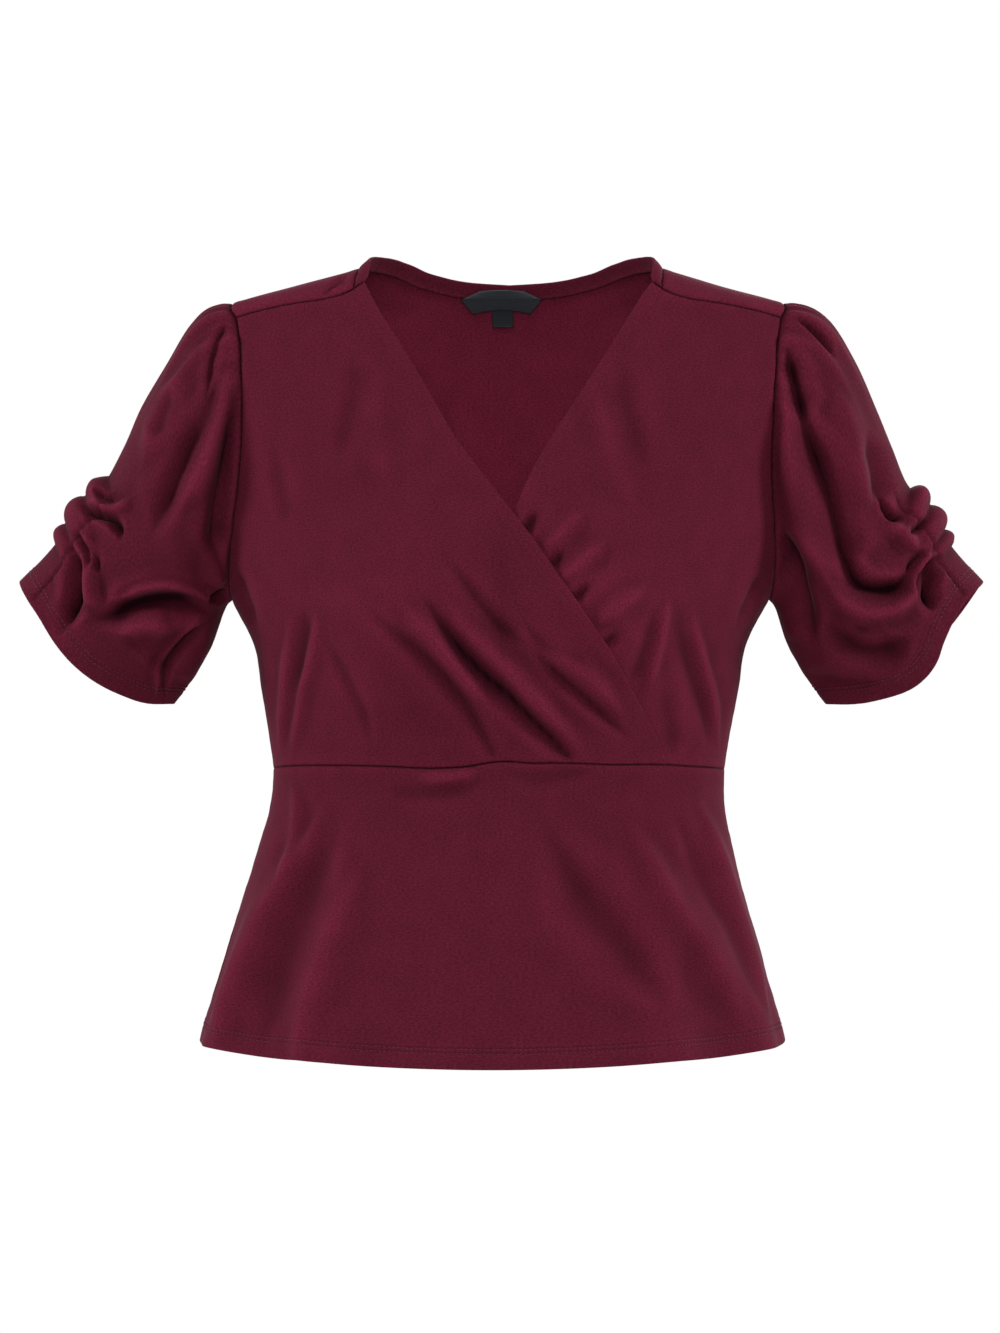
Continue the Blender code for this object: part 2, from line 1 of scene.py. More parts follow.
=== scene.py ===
# %% [markdown]
# # A wrap top in burgundy jersey
#
# This lesson dresses a plain model of a worn top in real cloth. The plain model is a set of closed
# walls, one for each piece that a maker would cut. Every wall here is replaced by a thin shell with
# the same form and finer folds, edges that roll into their seams, turned hems, and stitches.
#
# The shells are made from the same kind of tables as the model, so they keep its form, and only soft
# details such as the hang of a hem differ by a few millimetres. We work in metres; tables are in
# millimetres and degrees.

import bmesh
import bpy
import numpy as np
from mathutils import Matrix, Vector, noise
from mathutils.kdtree import KDTree


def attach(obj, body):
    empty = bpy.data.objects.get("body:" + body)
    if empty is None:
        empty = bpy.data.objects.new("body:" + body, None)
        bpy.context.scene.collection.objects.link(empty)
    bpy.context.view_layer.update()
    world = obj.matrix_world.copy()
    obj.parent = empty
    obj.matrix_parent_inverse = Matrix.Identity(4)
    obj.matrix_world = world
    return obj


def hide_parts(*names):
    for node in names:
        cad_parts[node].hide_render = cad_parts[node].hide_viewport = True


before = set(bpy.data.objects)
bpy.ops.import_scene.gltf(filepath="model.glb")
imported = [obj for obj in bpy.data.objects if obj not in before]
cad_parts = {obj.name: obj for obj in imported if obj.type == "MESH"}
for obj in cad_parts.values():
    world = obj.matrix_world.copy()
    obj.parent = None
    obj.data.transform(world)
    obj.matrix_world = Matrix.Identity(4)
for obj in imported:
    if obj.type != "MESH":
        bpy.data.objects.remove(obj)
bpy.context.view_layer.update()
MM = 0.001

# %% [markdown]
# ## Reading a table of sections
#
# A dressmaker measures a body at a few heights and lets the cloth run smoothly between them. We do the
# same: a table has a row for each height, and a column is read anywhere between the rows along a
# smooth curve. Straight lines between the rows would leave a visible crease at every height.


# %% Tables of sizes
class Table:
    """Rows of named columns. Any column can be read at any key, also between the rows."""

    def __init__(self, columns, *rows):
        table = np.array(sorted(rows), float)
        self.keys = table[:, 0]
        self.columns = {name: table[:, i] for i, name in enumerate(columns)}

    def read(self, name, key):
        keys, values = self.keys, self.columns[name]
        slopes = np.gradient(values, keys)
        i = np.clip(np.searchsorted(keys, key) - 1, 0, len(keys) - 2)
        span = keys[i + 1] - keys[i]
        t = np.clip((key - keys[i]) / span, 0, 1)
        start = t * (1 - t) ** 2 * span * slopes[i]
        end = t * t * (t - 1) * span * slopes[i + 1]
        return values[i] + (values[i + 1] - values[i]) * smooth(t) + start + end


def smooth(share):
    """A share, cut to 0..1, that eases in and out."""
    share = np.clip(share, 0, 1)
    return share * share * (3 - 2 * share)


def unit(vectors):
    """The same directions, each with a length of one."""
    return vectors / np.linalg.norm(vectors, axis=-1, keepdims=True)


def run_along(line):
    """How far along a line each of its points lies."""
    return np.concatenate([[0], np.cumsum(np.linalg.norm(np.diff(line, axis=0), axis=1))])


print("a quarter of the way along, an eased share is", round(smooth(0.25), 3))

# %% [markdown]
# ## The form that the cloth lies on
#
# Worn cloth takes the shape of what is under it. A stack of oval rings stands in for a general
# figure. Each ring has a half width, a depth in front and behind, and a squareness that fills out its
# corners. The bust is one soft swelling on each side.

# %% Rings of the body
# Measures in mm; the lean is how far a ring lies to one side.
TORSO = Table(
    ("z", "half", "front", "back", "square", "lean"),
    (20, 66, 30, 40, 0.06, 8.5),
    (8, 107, 36, 46, 0.06, 7.8),
    (-5, 152, 44, 54, 0.07, 5.8),
    (-17, 195, 51, 62, 0.08, 5.6),
    (-31, 209, 58, 70, 0.09, 6.0),
    (-57, 221, 69, 80, 0.11, 6.0),
    (-94, 220, 83, 90, 0.12, 5.5),
    (-122, 214, 92, 94, 0.12, 4.5),
    (-150, 208, 100, 96, 0.12, 3.5),
    (-180, 203, 107, 96, 0.12, 2.5),
    (-205, 198, 110, 94, 0.12, 1.5),
    (-227, 190, 112, 92, 0.12, 0.5),
    (-248, 179, 111, 90, 0.12, 0.0),
    (-260, 174, 110, 88, 0.12, 0.0),
    (-290, 169, 105, 84, 0.12, 0.0),
    (-324, 163, 97, 81, 0.11, -0.5),
    (-347, 160, 93, 80, 0.10, -0.7),
    (-373, 161, 94, 84, 0.08, -1.8),
    (-402, 168, 99, 92, 0.07, -3.0),
    (-442, 179, 108, 104, 0.06, -4.6),
    (-489, 193, 118, 116, 0.05, -5.0),
    (-530, 205, 127, 126, 0.05, -5.3),
    (-548, 209, 130, 130, 0.05, -5.3),
)
BUST_X, BUST_Z = 85 * MM, -232 * MM
BUST_SPREAD_X, BUST_SPREAD_Z = 58 * MM, 68 * MM
BUST_HEIGHT = 19 * MM
SIDE = np.pi / 2  # a quarter turn from centre front is the side seam
WAIST = -347 * MM
print(len(TORSO.keys), "rings, the highest at", TORSO.keys[-1], "mm")


# %% A point on the body
def ring(column, z):
    """One measure of the ring at a height, in metres."""
    return TORSO.read(column, z / MM) * MM


def depth(in_front, z):
    """How deep the body is at a height, in front or behind."""
    return np.where(in_front, ring("front", z), ring("back", z))


def torso(angle, z):
    """The point at an angle round the body: 0 is centre front, and +SIDE the wearer's left side."""
    sine, cosine = np.sin(angle), np.cos(angle)
    x = ring("half", z) * sine
    y = -depth(cosine > 0, z) * cosine * (1 + TORSO.read("square", z / MM) * sine**2)
    bust = np.exp(-(((np.abs(x) - BUST_X) / BUST_SPREAD_X) ** 2))
    bust *= np.exp(-(((z - BUST_Z) / BUST_SPREAD_Z) ** 2))
    return np.stack([x, y - BUST_HEIGHT * bust * np.clip(cosine, 0, 1), z], -1)


def torso_normal(angle, z):
    """The way straight out of the body, from four points close by."""
    step = 1e-4
    round_body = torso(angle + step, z) - torso(angle - step, z)
    upwards = torso(angle, z + step) - torso(angle, z - step)
    return unit(np.cross(round_body, upwards))


def lean(points):
    """The top hangs a little askew: shoulders off to one side, hem to the other."""
    return points + ring("lean", points[..., 2])[..., None] * [1, 0, 0]


def angle_at(x, z):
    """The angle in front at a distance from the middle."""
    return np.arcsin(np.clip(x / TORSO.read("half", z / MM) / MM, -1, 1))


ALL_ROUND = np.linspace(0, 4 * SIDE, 181)
print("round the waist:", round(run_along(torso(ALL_ROUND, np.full(181, WAIST)))[-1] / MM), "mm")

# %% [markdown]
# ## Where the pieces are cut
#
# The cut edges are curves on that form: the waist seam, the armholes, the shoulder seam that sits a
# little in front of the ridge, the neck edge, and the two slanting wrap edges. Each is a function of
# a share from 0 to 1 along it, which makes it easy to stretch a net of cloth between four of them.

# %% Sizes of the cut edges
SEAM = -0.15 * MM  # sewn pieces overlap by twice this at the bottom of a seam
SIDE_MARGIN = -0.0008  # the same at a side seam, as an angle
# The height of the waist seam in front, by the angle in degrees.
WAIST_LINE = Table(
    ("angle", "z"),
    (-90, -347),
    (-80, -345.7),
    (-50, -343.2),
    (-28, -343.5),
    (-17, -344.5),
    (-8, -343.4),
    (-1, -340.2),
    (2, -339.8),
    (7, -340.9),
    (15, -340.9),
    (30, -342.3),
    (43, -342.4),
    (56, -344),
    (79, -346.4),
    (90, -347),
)
HEM_SIDE, HEM_DIP = -540 * MM, 7.5 * MM  # the hem at the sides, and how much lower it is in the middle
ARMHOLE_TOP, ARMHOLE_LOW, ARMHOLE_REACH = -17 * MM, -227 * MM, 50 * MM
SEAM_TURN = np.radians(63)  # where the shoulder seam meets the armhole
SIDE_SHARE = 0.4  # share of a bodice's outer edge that is side seam
MARGIN_ENDS = 1 / 12  # share of half an armhole over which the side seam's margin ends
ROUNDS = 12  # enough to settle what the rings' squareness changes

# How far each wrap edge lies from the middle, towards the side that its front hangs on.
WRAP = Table(
    ("z", "over", "under"),
    (10, 112, 112),
    (-4, 103, 101),
    (-28, 90, 85),
    (-50, 76, 71.5),
    (-71, 63, 58.5),
    (-92, 50.5, 45.5),
    (-108, 41, 35.5),
    (-121, 32.3, 28),
    (-141, 16.3, 17.5),
    (-167, -4.5, 6.3),
    (-189, -22, -6),
    (-212, -39, -26),
    (-237, -57, -46),
    (-263, -75, -66),
    (-300, -96, -90),
    (-324, -109, -104),
    (-345, -117, -112),
)
# The height of the shoulder seam, by its distance from the middle.
SHOULDER = Table(
    ("x", "z"),
    (200, -31),
    (190, -29),
    (180, -26.3),
    (168, -23.5),
    (149, -19.8),
    (126, -16.3),
    (116, -13.5),
    (107, -8.8),
    (100, -3.5),
)
FRONT_CORNER, BACK_CORNER = 101 * MM, 107 * MM  # where the shoulder seam ends, on front and back
# The neck edge from shoulder seam to centre back, and how much the band leans in there.
NECK = Table(
    ("share", "angle", "z", "incline"),
    (0.00, 40.4, -8.8, 1.5),
    (0.07, 48, -3.0, 1.25),
    (0.14, 61, 3.4, 1.0),
    (0.20, 76, 6.9, 0.9),
    (0.25, 90, 8.6, 0.85),
    (0.34, 113, 9.2, 0.85),
    (0.47, 136, 5.8, 0.75),
    (0.61, 153.5, -0.9, 0.6),
    (0.79, 166.6, -6.2, 0.45),
    (1.00, 180, -8.8, 0.35),
)
NECK_RIDGE_SHARE, NECK_RIDGE = 0.25, 8.6 * MM  # where the neck edge crosses the shoulder ridge
print("the wrap edges are read at", len(WRAP.keys), "heights")


# %% The cut edges
def waist_height(angle):
    """The height of the waist seam. Past the side seams it stays as at them."""
    return WAIST_LINE.read("z", np.degrees(angle)) * MM


def armhole(turn):
    """(angle, z) of the left armhole: -90 degrees is the underarm, 0 the front, 90 the top."""
    z = (ARMHOLE_TOP + ARMHOLE_LOW) / 2 + (ARMHOLE_TOP - ARMHOLE_LOW) / 2 * np.sin(turn)
    flat = ARMHOLE_REACH * np.cos(turn) / depth(np.cos(turn) > 0, z)
    cosine = flat
    for _ in range(ROUNDS):
        cosine = flat / (1 + TORSO.read("square", z / MM) * (1 - cosine**2))
    return np.arccos(cosine), z


def outer_edge(share, first_turn, last_turn, margin):
    """(angle, z) up the side seam and then round one half of the armhole."""
    round_hole = np.clip((share - SIDE_SHARE) / (1 - SIDE_SHARE), 0, 1)
    arm_angle, arm_z = armhole(first_turn + (last_turn - first_turn) * round_hole)
    on_seam = share < SIDE_SHARE
    angle = np.where(on_seam, SIDE, arm_angle) + margin * np.clip(1 - round_hole / MARGIN_ENDS, 0, 1)
    seam_z = WAIST + (ARMHOLE_LOW - WAIST) * share / SIDE_SHARE
    return angle, np.where(on_seam, seam_z, arm_z)


def shoulder_seam(share, corner):
    """(angle, z) from the armhole to the corner at the neck."""
    arm_angle, arm_z = armhole(np.full_like(share, SEAM_TURN))
    arm_x = torso(arm_angle, arm_z)[..., 0]
    x = arm_x + (corner - arm_x) * share
    off = arm_z - SHOULDER.read("z", arm_x / MM) * MM
    z = SHOULDER.read("z", x / MM) * MM + off * (1 - share) ** 2
    return np.where(share > 0, angle_at(x, z), arm_angle), z


def neck_edge(share):
    """(angle, z) from the shoulder seam round to centre back."""
    return np.radians(NECK.read("angle", share)), NECK.read("z", share) * MM


print("round an armhole:", round(run_along(torso(*armhole(ALL_ROUND)))[-1] / MM), "mm")

# %% [markdown]
# ## A net of cloth between four edges
#
# A panel is a net stretched between its four cut edges. It is stretched on the unrolled form, where
# one direction is the distance round the body and the other is the height, and then laid back on the
# rings. Stretched straight through space it would cut across the bust and the shoulder.


# %% Stretching a net
def girth(angle, z, face):
    """Roughly how far round one face of the body an angle lies from the middle of that face."""
    turned = angle if face == "front" else np.pi - angle
    return ring("half", z) * np.sin(turned) + np.sign(turned) * ring(face, z) * (1 - np.cos(turned))


def angle_for(distance, z, face):
    """The angle that has this girth."""
    half, deep = ring("half", z), ring(face, z)
    sine = np.clip((np.abs(distance) - deep) / np.hypot(half, deep), -1, 1)
    turned = np.sign(distance) * (np.arctan2(deep, half) + np.arcsin(sine))
    return turned if face == "front" else np.pi - turned


def stretched(u, v, face, bottom, top, start, end):
    """(angle, z, girth) of a net over one face of the body. Each edge is a function of a share."""

    def on_face(edge, share):
        angle, z = edge(share)
        return np.stack([girth(angle, z, face), z])

    zero, one = np.zeros_like(u), np.ones_like(u)
    net = (1 - v) * on_face(bottom, u) + v * on_face(top, u)
    net += (1 - u) * on_face(start, v) + u * on_face(end, v)
    net -= (1 - v) * ((1 - u) * on_face(bottom, zero) + u * on_face(bottom, one))
    net -= v * ((1 - u) * on_face(top, zero) + u * on_face(top, one))
    return angle_for(net[0], net[1], face), net[1], net[0]


print("half round the front at the waist:", round(girth(SIDE, WAIST, "front") / MM), "mm")

# %% [markdown]
# ## Folds, creases and slack
#
# A fold is drawn as a smooth curve through a few stops in front view. Each row of a table starts with
# how high the fold stands in mm, or how deep it sinks, then its half-width, then how sharp its bottom
# is: 2 is a soft trough and 1 is a pressed crease. Both ends of a fold die away and grow narrow. Real
# cloth keeps its length, so what sinks in a trough rises again on both sides of it.
#
# Between the folds jersey is never quite flat. A little smooth noise, a few tenths of a millimetre
# high and a few centimetres long, stands for that slack.

# %% Folds and slack
CURVE_POINTS = 22
RISE_BESIDE, RISE_AT = 0.2, 2.1  # what rises beside a trough, as a share, and where, in half-widths
FOLD_START, FOLD_END = 0.35, 0.3  # shares of a fold's length over which its two ends die away
FOLD_TIP = 0.35  # how wide the tips of a fold are, as a share


def curve_through(stops):
    """Points along a smooth curve through a few stops."""
    table = Table(("stop", "x", "z"), *[(number, *stop) for number, stop in enumerate(stops)])
    at = np.linspace(0, len(stops) - 1, CURVE_POINTS)
    return table.read("x", at) * MM, table.read("z", at) * MM


def fold_heights(x, z, folds):
    """How far the folds of a table lift or sink points of the cloth, as seen from the front."""
    total = np.zeros_like(x)
    for height, width, sharp, *stops in folds:
        line_x, line_z = curve_through(stops)
        parts = len(line_x) - 1
        nearest, reached = np.full(x.shape, np.inf), np.zeros(x.shape)
        for i in range(parts):
            run_x, run_z = line_x[i + 1] - line_x[i], line_z[i + 1] - line_z[i]
            t = ((x - line_x[i]) * run_x + (z - line_z[i]) * run_z) / (run_x**2 + run_z**2)
            t = np.clip(t, 0, 1)
            away = np.hypot(x - line_x[i] - t * run_x, z - line_z[i] - t * run_z)
            reached = np.where(away < nearest, (i + t) / parts, reached)
            nearest = np.minimum(away, nearest)
        fade = smooth(reached / FOLD_START) * smooth((1 - reached) / FOLD_END)
        across = nearest / (width * (FOLD_TIP + (1 - FOLD_TIP) * fade) * MM)
        profile = np.exp(-(across**sharp)) - RISE_BESIDE * np.exp(-((across - RISE_AT) ** 2))
        total += height * MM * fade * profile
    return total


def ripple(points, size, seed):
    """Smooth noise from -1 to 1 that changes over a size in millimetres, or three sizes."""
    scaled = points.reshape(-1, 3) / (np.array(size) * MM) + [seed, 0, 0]
    return np.array([noise.noise(Vector(p)) for p in scaled]).reshape(points.shape[:-1])


trough = ((-2, 4, 2, (0, 0), (10, 0), (20, 0)),)
deepest = fold_heights(np.array([10 * MM]), np.zeros(1), trough)[0]
print("the middle of a 2 mm trough lies at", round(deepest / MM, 2), "mm")

# %% [markdown]
# ## Edges: seams, folded rims and turned hems
#
# Three things happen at an edge of a cut piece. In a seam both pieces roll inwards and meet at the
# bottom of a narrow groove, and the cloth puckers a little beside it. A folded rim is doubled and
# rounded. A turned hem is doubled too, and the rows of stitches pull it in.
#
# All three depend only on how far a point lies from the edge, so the distance is measured first. A
# tree of closely spaced marks along the edge answers that quickly for thousands of points.

# %% Seams
MARKS = 0.2 * MM
SEAM_DEPTH, SEAM_SPREAD = 1.2 * MM, 0.75 * MM
SEAM_PUFF, PUFF_AT, PUFF_SPREAD = 0.3 * MM, 4 * MM, 3 * MM
PUCKER, PUCKER_SPREAD = 0.35 * MM, 6 * MM
PRESSED, PRESSED_SPREAD = 0.75, 9 * MM


def distance(line, points):
    """How far each point of a grid lies from an edge line."""
    run = run_along(line)
    marks = np.arange(0, run[-1], MARKS)
    dense = np.stack([np.interp(marks, run, line[:, i]) for i in range(3)], -1)
    tree = KDTree(len(dense))
    for i, point in enumerate(dense):
        tree.insert(point, i)
    tree.balance()
    found = [tree.find(point)[2] for point in points.reshape(-1, 3)]
    return np.array(found).reshape(points.shape[:-1])


def seam_sink(away, wave):
    """The groove of a seam, the soft roll beside it, and the puckers that follow a wave."""
    groove = SEAM_DEPTH * np.exp(-((away / SEAM_SPREAD) ** 2))
    puff = SEAM_PUFF * np.exp(-(((away - PUFF_AT) / PUFF_SPREAD) ** 2))
    return groove - puff + PUCKER * wave * np.exp(-((away / PUCKER_SPREAD) ** 2))


def pressed(points):
    """The crossing of waist seam and side seam is pressed flat, so that it doesn't nick the outline."""
    crossings = lean(torso(np.array([SIDE, -SIDE]), np.full(2, WAIST)))
    near = np.linalg.norm(points[..., None, :] - crossings, axis=-1).min(axis=-1)
    return 1 - PRESSED * np.exp(-((near / PRESSED_SPREAD) ** 2))


print("the bottom of a seam lies", round(seam_sink(0, 0) / MM, 2), "mm deep")

# %% Folded rims and turned hems
JERSEY = 0.9 * MM  # one layer of the knit
TURNED = 1.9 * MM  # a folded edge, two layers with air between
TURN_ENDS = 1.2 * MM  # how softly the second layer ends
PROUD = 0.35  # share of the second layer that shows on the outside
THINNEST = 0.1 * MM
GROOVE, GROOVE_SPREAD = 0.6 * MM, 0.6 * MM


def rim_profile(away, turned_in, rows):
    """(sink, thickness) across a folded edge that is turned in and stitched at some rows."""
    doubled = smooth((turned_in - away) / TURN_ENDS + 0.5)
    thickness = JERSEY + (TURNED - JERSEY) * doubled
    half = thickness / 2 * np.sqrt(1 - np.clip(1 - away / (TURNED / 2), 0, 1) ** 2)
    sink = thickness / 2 - half - PROUD * (TURNED - JERSEY) * doubled
    for row in rows:
        sink = sink + GROOVE * np.exp(-(((away - row) / GROOVE_SPREAD) ** 2))
    return sink, np.maximum(2 * half, THINNEST)


fold_wall = rim_profile(TURNED, 9 * MM, ())[1]
print("a folded edge is", round(fold_wall / MM, 2), "mm thick")

# %% [markdown]
# ## From a grid to a shell
#
# Blender's own grid gives the vertices and faces of a panel. Each vertex is moved to its place in the
# net and then keeps, in a vector layer, the way through the wall. The wall is an extrusion of the
# whole panel along those vectors, so it is a closed, even shell. The grid lines lie closer together
# near the edges, because that is where the small shapes are.
#
# Shade is painted into the dye in a fold: blurring a panel tells which points lie below the cloth
# around them, and the shell keeps that measure so that the dye paints shade there and highlights on
# crests.

# %% Spacing the grid lines
STEP = 2.1  # mm between grid lines away from the edges
NEAR_EDGE = np.array([0, 0.3, 0.65, 1.05, 1.5, 2.1, 3.0, 4.2])
STITCH_LINES = np.array([9.8, 10.5, 11.2, 11.9, 12.6, 13.0, 13.7, 14.4, 15.1, 16.0])


def spaced(length, hem=False, step=STEP):
    """Shares from 0 to 1 along a side about length mm long, closer together at both ends."""
    start = np.concatenate([NEAR_EDGE, STITCH_LINES]) if hem else NEAR_EDGE
    inner = length - start[-1] - NEAR_EDGE[-1]
    count = max(2, int(round(inner / step)))
    middle = start[-1] + np.linspace(0, inner, count + 1)
    return np.concatenate([start[:-1], middle, (length - NEAR_EDGE[::-1])[1:]]) / length


print("a side of 100 mm gets", len(spaced(100)), "grid lines")

# %% Ways out and hollows
BLUR = 4  # grid lines to each side
FULL_HOLLOW = 6 * MM


def grid_normals(points, closed):
    """The way out of the cloth at each point. A closed grid is a tube."""
    if closed:
        points = np.concatenate([points[:, -2:-1], points, points[:, 1:2]], axis=1)
    normals = unit(np.cross(np.gradient(points, axis=1), np.gradient(points, axis=0)))
    return normals[:, 1:-1] if closed else normals


def blurred(grid, axis):
    """Each point averaged with its neighbours along one axis."""
    pads = [(BLUR, BLUR) if i == axis else (0, 0) for i in range(grid.ndim)]
    wide = np.moveaxis(np.pad(grid, pads, "reflect", reflect_type="odd"), axis, 0)
    count = grid.shape[axis]
    total = sum(wide[i : i + count] for i in range(2 * BLUR + 1))
    return np.moveaxis(total, 0, axis) / (2 * BLUR + 1)


def hollowness(points, outward):
    """1 where a point lies well below the cloth around it, -1 where it stands well above."""
    around = blurred(blurred(blurred(blurred(points, 0), 1), 0), 1)
    return np.clip(((around - points) * outward).sum(-1) / FULL_HOLLOW, -1, 1)


print("hollows are measured over", 2 * BLUR * STEP, "mm of cloth")

# %% Finishing a panel
SLACK, SLACK_SIZE, SLACK_FROM_EDGE = 0.5 * MM, (60, 60, 90), 15 * MM
PUCKER_SIZE = 6
SEAM_SHARED = 1.8 * MM  # within this both pieces of a seam sink in the same direction
SEAM_SHADE = 0.7  # painted shade at the bottom of a seam, as a share of a full hollow
NO_EDGE = 1.0  # farther than any edge


def panel(place, across, up, facing, seams=(), rims=(), closed=False):
    """A finished grid. Seams and rims name a side of the grid, or pick a line from it."""
    sides = {"bottom": np.s_[0], "top": np.s_[-1], "start": np.s_[:, 0], "end": np.s_[:, -1]}
    u, v = np.meshgrid(across, up)
    points, weave, form_normal = place(u, v)
    outward = facing * grid_normals(points, closed)
    wall, away = np.full(u.shape, JERSEY), np.full(u.shape, NO_EDGE)
    for seam in seams:
        line = points[sides[seam]] if isinstance(seam, str) else seam(points)
        away = np.minimum(away, distance(line, points))
    slack = SLACK * ripple(points, SLACK_SIZE, 3) * smooth(away / SLACK_FROM_EDGE)
    sink = seam_sink(away, ripple(points, PUCKER_SIZE, 11)) * pressed(points) - slack
    for side, turned_in, rows in rims:
        rim_sink, rim_wall = rim_profile(distance(points[sides[side]], points), turned_in, rows)
        sink, wall = sink + rim_sink, np.where(rim_wall == JERSEY, wall, rim_wall)
    shared = np.exp(-((away / SEAM_SHARED) ** 2))
    outward = unit(outward + (form_normal - outward) * shared[..., None])
    outer = points - outward * sink[..., None]
    return {
        "outer": outer,
        "wall": -outward * wall[..., None],
        "weave": weave,
        # The hollows and the seam lines are kept for the dye, which paints shade and highlight from
        # them.
        "hollow": hollowness(outer, outward),
        "shade": SEAM_SHADE * np.exp(-((away / SEAM_SPREAD) ** 2)),
    }


# %% Making a shell
MERGE = 0.03 * MM


def put(name, data):
    """A new object in the scene."""
    placed = bpy.data.objects.new(name, data)
    bpy.context.scene.collection.objects.link(placed)
    return placed


def finished_piece(name, mesh):
    """A smooth-shaded object made of a bmesh, which is freed."""
    for face in mesh.faces:
        face.smooth = True
    data = bpy.data.meshes.new(name)
    mesh.to_mesh(data)
    mesh.free()
    print(name, len(data.polygons), "faces")
    return put(name, data)


def make_shell(name, patches, reverse=1.0):
    """One closed shell from one or more grids. Reverse is how far its inside shows the paler back of the
    knit, partly painted light.
    """
    mesh = bmesh.new()
    inward = mesh.verts.layers.float_vector.new("inward")
    hollow, shade, inside = [mesh.verts.layers.float.new(name) for name in ("hollow", "shade", "inside")]
    weave_map = mesh.loops.layers.uv.new("weave")
    for patch in patches:
        rows, columns = patch["outer"].shape[:2]
        size = {"x_segments": columns - 1, "y_segments": rows - 1, "size": 0.5}
        grid = bmesh.ops.create_grid(mesh, **size)["verts"]
        place = {}
        for vertex in grid:
            spot = (round((vertex.co.y + 0.5) * (rows - 1)), round((vertex.co.x + 0.5) * (columns - 1)))
            vertex.co, vertex[inward] = patch["outer"][spot], patch["wall"][spot]
            vertex[hollow], vertex[shade] = patch["hollow"][spot], patch["shade"][spot]
            place[vertex] = patch["weave"][spot]
        for face in {face for vertex in grid for face in vertex.link_faces}:
            for corner in face.loops:
                corner[weave_map].uv = place[corner.vert]
    bmesh.ops.remove_doubles(mesh, verts=mesh.verts, dist=MERGE)
    copied = bmesh.ops.extrude_face_region(mesh, geom=mesh.faces, use_keep_orig=True)["geom"]
    # The inside turns each hollow into a crest and is marked for its paler colour, which is partly
    # painted light.
    for vertex in (item for item in copied if isinstance(item, bmesh.types.BMVert)):
        vertex.co += vertex[inward]
        vertex[hollow], vertex[inside] = -vertex[hollow], reverse
    # Painted shade along the seams darkens both sides of the shell.
    for vertex in mesh.verts:
        vertex[hollow] += vertex[shade]
    bmesh.ops.recalc_face_normals(mesh, faces=mesh.faces)
    if mesh.calc_volume(signed=True) < 0:
        bmesh.ops.reverse_faces(mesh, faces=mesh.faces)
    return finished_piece(name, mesh)


# %% [markdown]
# ## The two crossed fronts
#
# The wearer's right front lies over the left one. Its long diagonal folds run from the bust down to
# the waist seam, because the wrap edge is pulled tight there. The under front sinks a little behind
# the over front, so that the two plies never touch.
#
# One function makes both, because their cuts mirror each other. They differ in the line of the wrap
# edge and in their folds.

# %% Folds of the fronts
# Each row: height, half-width, sharpness, and the stops of the fold as (x, z).
OVER_FOLDS = (
    (
        -6.5, 5, 1.4, (-62, -213), (-47, -236), (-32, -257), (-16, -276), (1, -291), (19, -309),
        (38, -327), (51, -340), (62, -352),
    ),
    (4, 6, 1.8, (-45, -217), (-26, -245), (-6, -265), (15, -286), (35, -309), (56, -332)),
    (
        -3.4, 4.5, 1.6, (-95, -227), (-79, -245), (-60, -260), (-42, -277), (-24, -300), (-6, -332),
        (1, -350),
    ),
    (3, 6, 1.8, (-75, -224), (-58, -243), (-40, -263), (-22, -286), (-3, -309)),
    (-2.2, 3.2, 1.6, (-122, -249), (-113, -268), (-103, -288), (-92, -311), (-87, -338)),
    (-2.8, 4.2, 1.5, (-47, -188), (-25, -217), (-8, -238), (8, -252), (22, -264)),
    (-4.4, 3.6, 1.4, (17, -256), (31, -272), (43, -284), (60, -298), (76, -313), (95, -329)),
    (3, 5, 1.8, (19, -245), (38, -263), (56, -277), (72, -293), (90, -313)),
    (-2.5, 4, 1.6, (10, -238), (31, -259), (49, -269), (67, -281)),
    (3.5, 3.5, 1.7, (-126, -227), (-127, -254), (-135, -286), (-141, -316), (-147, -343)),
    (-2.8, 5, 1.8, (-135, -229), (-135, -249), (-139, -272), (-147, -300)),
    (3, 3.5, 1.8, (-144, -236), (-148, -272), (-151, -300), (-155, -341)),
    (-2, 5, 1.9, (-163, -112), (-158, -140), (-153, -160), (-150, -181)),
    (-2.2, 8, 2, (-112, -51), (-107, -76), (-111, -103), (-117, -140)),
    (1.6, 8, 2, (-89, -62), (-91, -92), (-88, -126), (-75, -163)),
    (-3, 4, 1.8, (-188, -204), (-182, -217), (-176, -232), (-168, -250)),
)
UNDER_FOLDS = (
    (-1.4, 3.4, 1.8, (-8, -166), (4, -184), (22, -210), (44, -240), (66, -270)),
    (-4, 3.2, 1.6, (2, -192), (12, -183), (19, -175), (23, -166)),
    (-3.6, 3.2, 1.6, (16, -206), (29, -205), (37, -201), (43, -194)),
    (3, 5, 1.8, (27, -195), (35, -188), (46, -176), (57, -165)),
    (-4, 3.2, 1.6, (36, -231), (48, -228), (56, -223), (63, -215)),
    (3.5, 5, 1.8, (37, -217), (48, -209), (59, -198), (74, -186)),
    (-3.2, 3.2, 1.6, (58, -265), (69, -262), (76, -257), (82, -249)),
    (3, 5, 1.8, (65, -249), (74, -240), (87, -229), (101, -217)),
    (3.5, 3.5, 1.7, (115, -224), (113, -240), (107, -268), (99, -302)),
    (-2.4, 4, 1.7, (106, -233), (103, -254), (96, -275), (88, -290)),
    (-2.8, 4.6, 1.7, (123, -229), (125, -254), (134, -284), (144, -309), (147, -338)),
    (3.5, 3.5, 1.7, (131, -227), (138, -263), (147, -295), (155, -338)),
    (-2, 5, 1.9, (113, -272), (115, -300), (120, -322), (122, -343)),
    (-2.2, 8, 2, (82, -51), (80, -81), (88, -112), (100, -144)),
    (1.8, 8, 2, (55, -67), (65, -103), (77, -140), (94, -172)),
    (-3, 4, 1.8, (184, -206), (178, -218), (172, -232), (164, -250)),
)
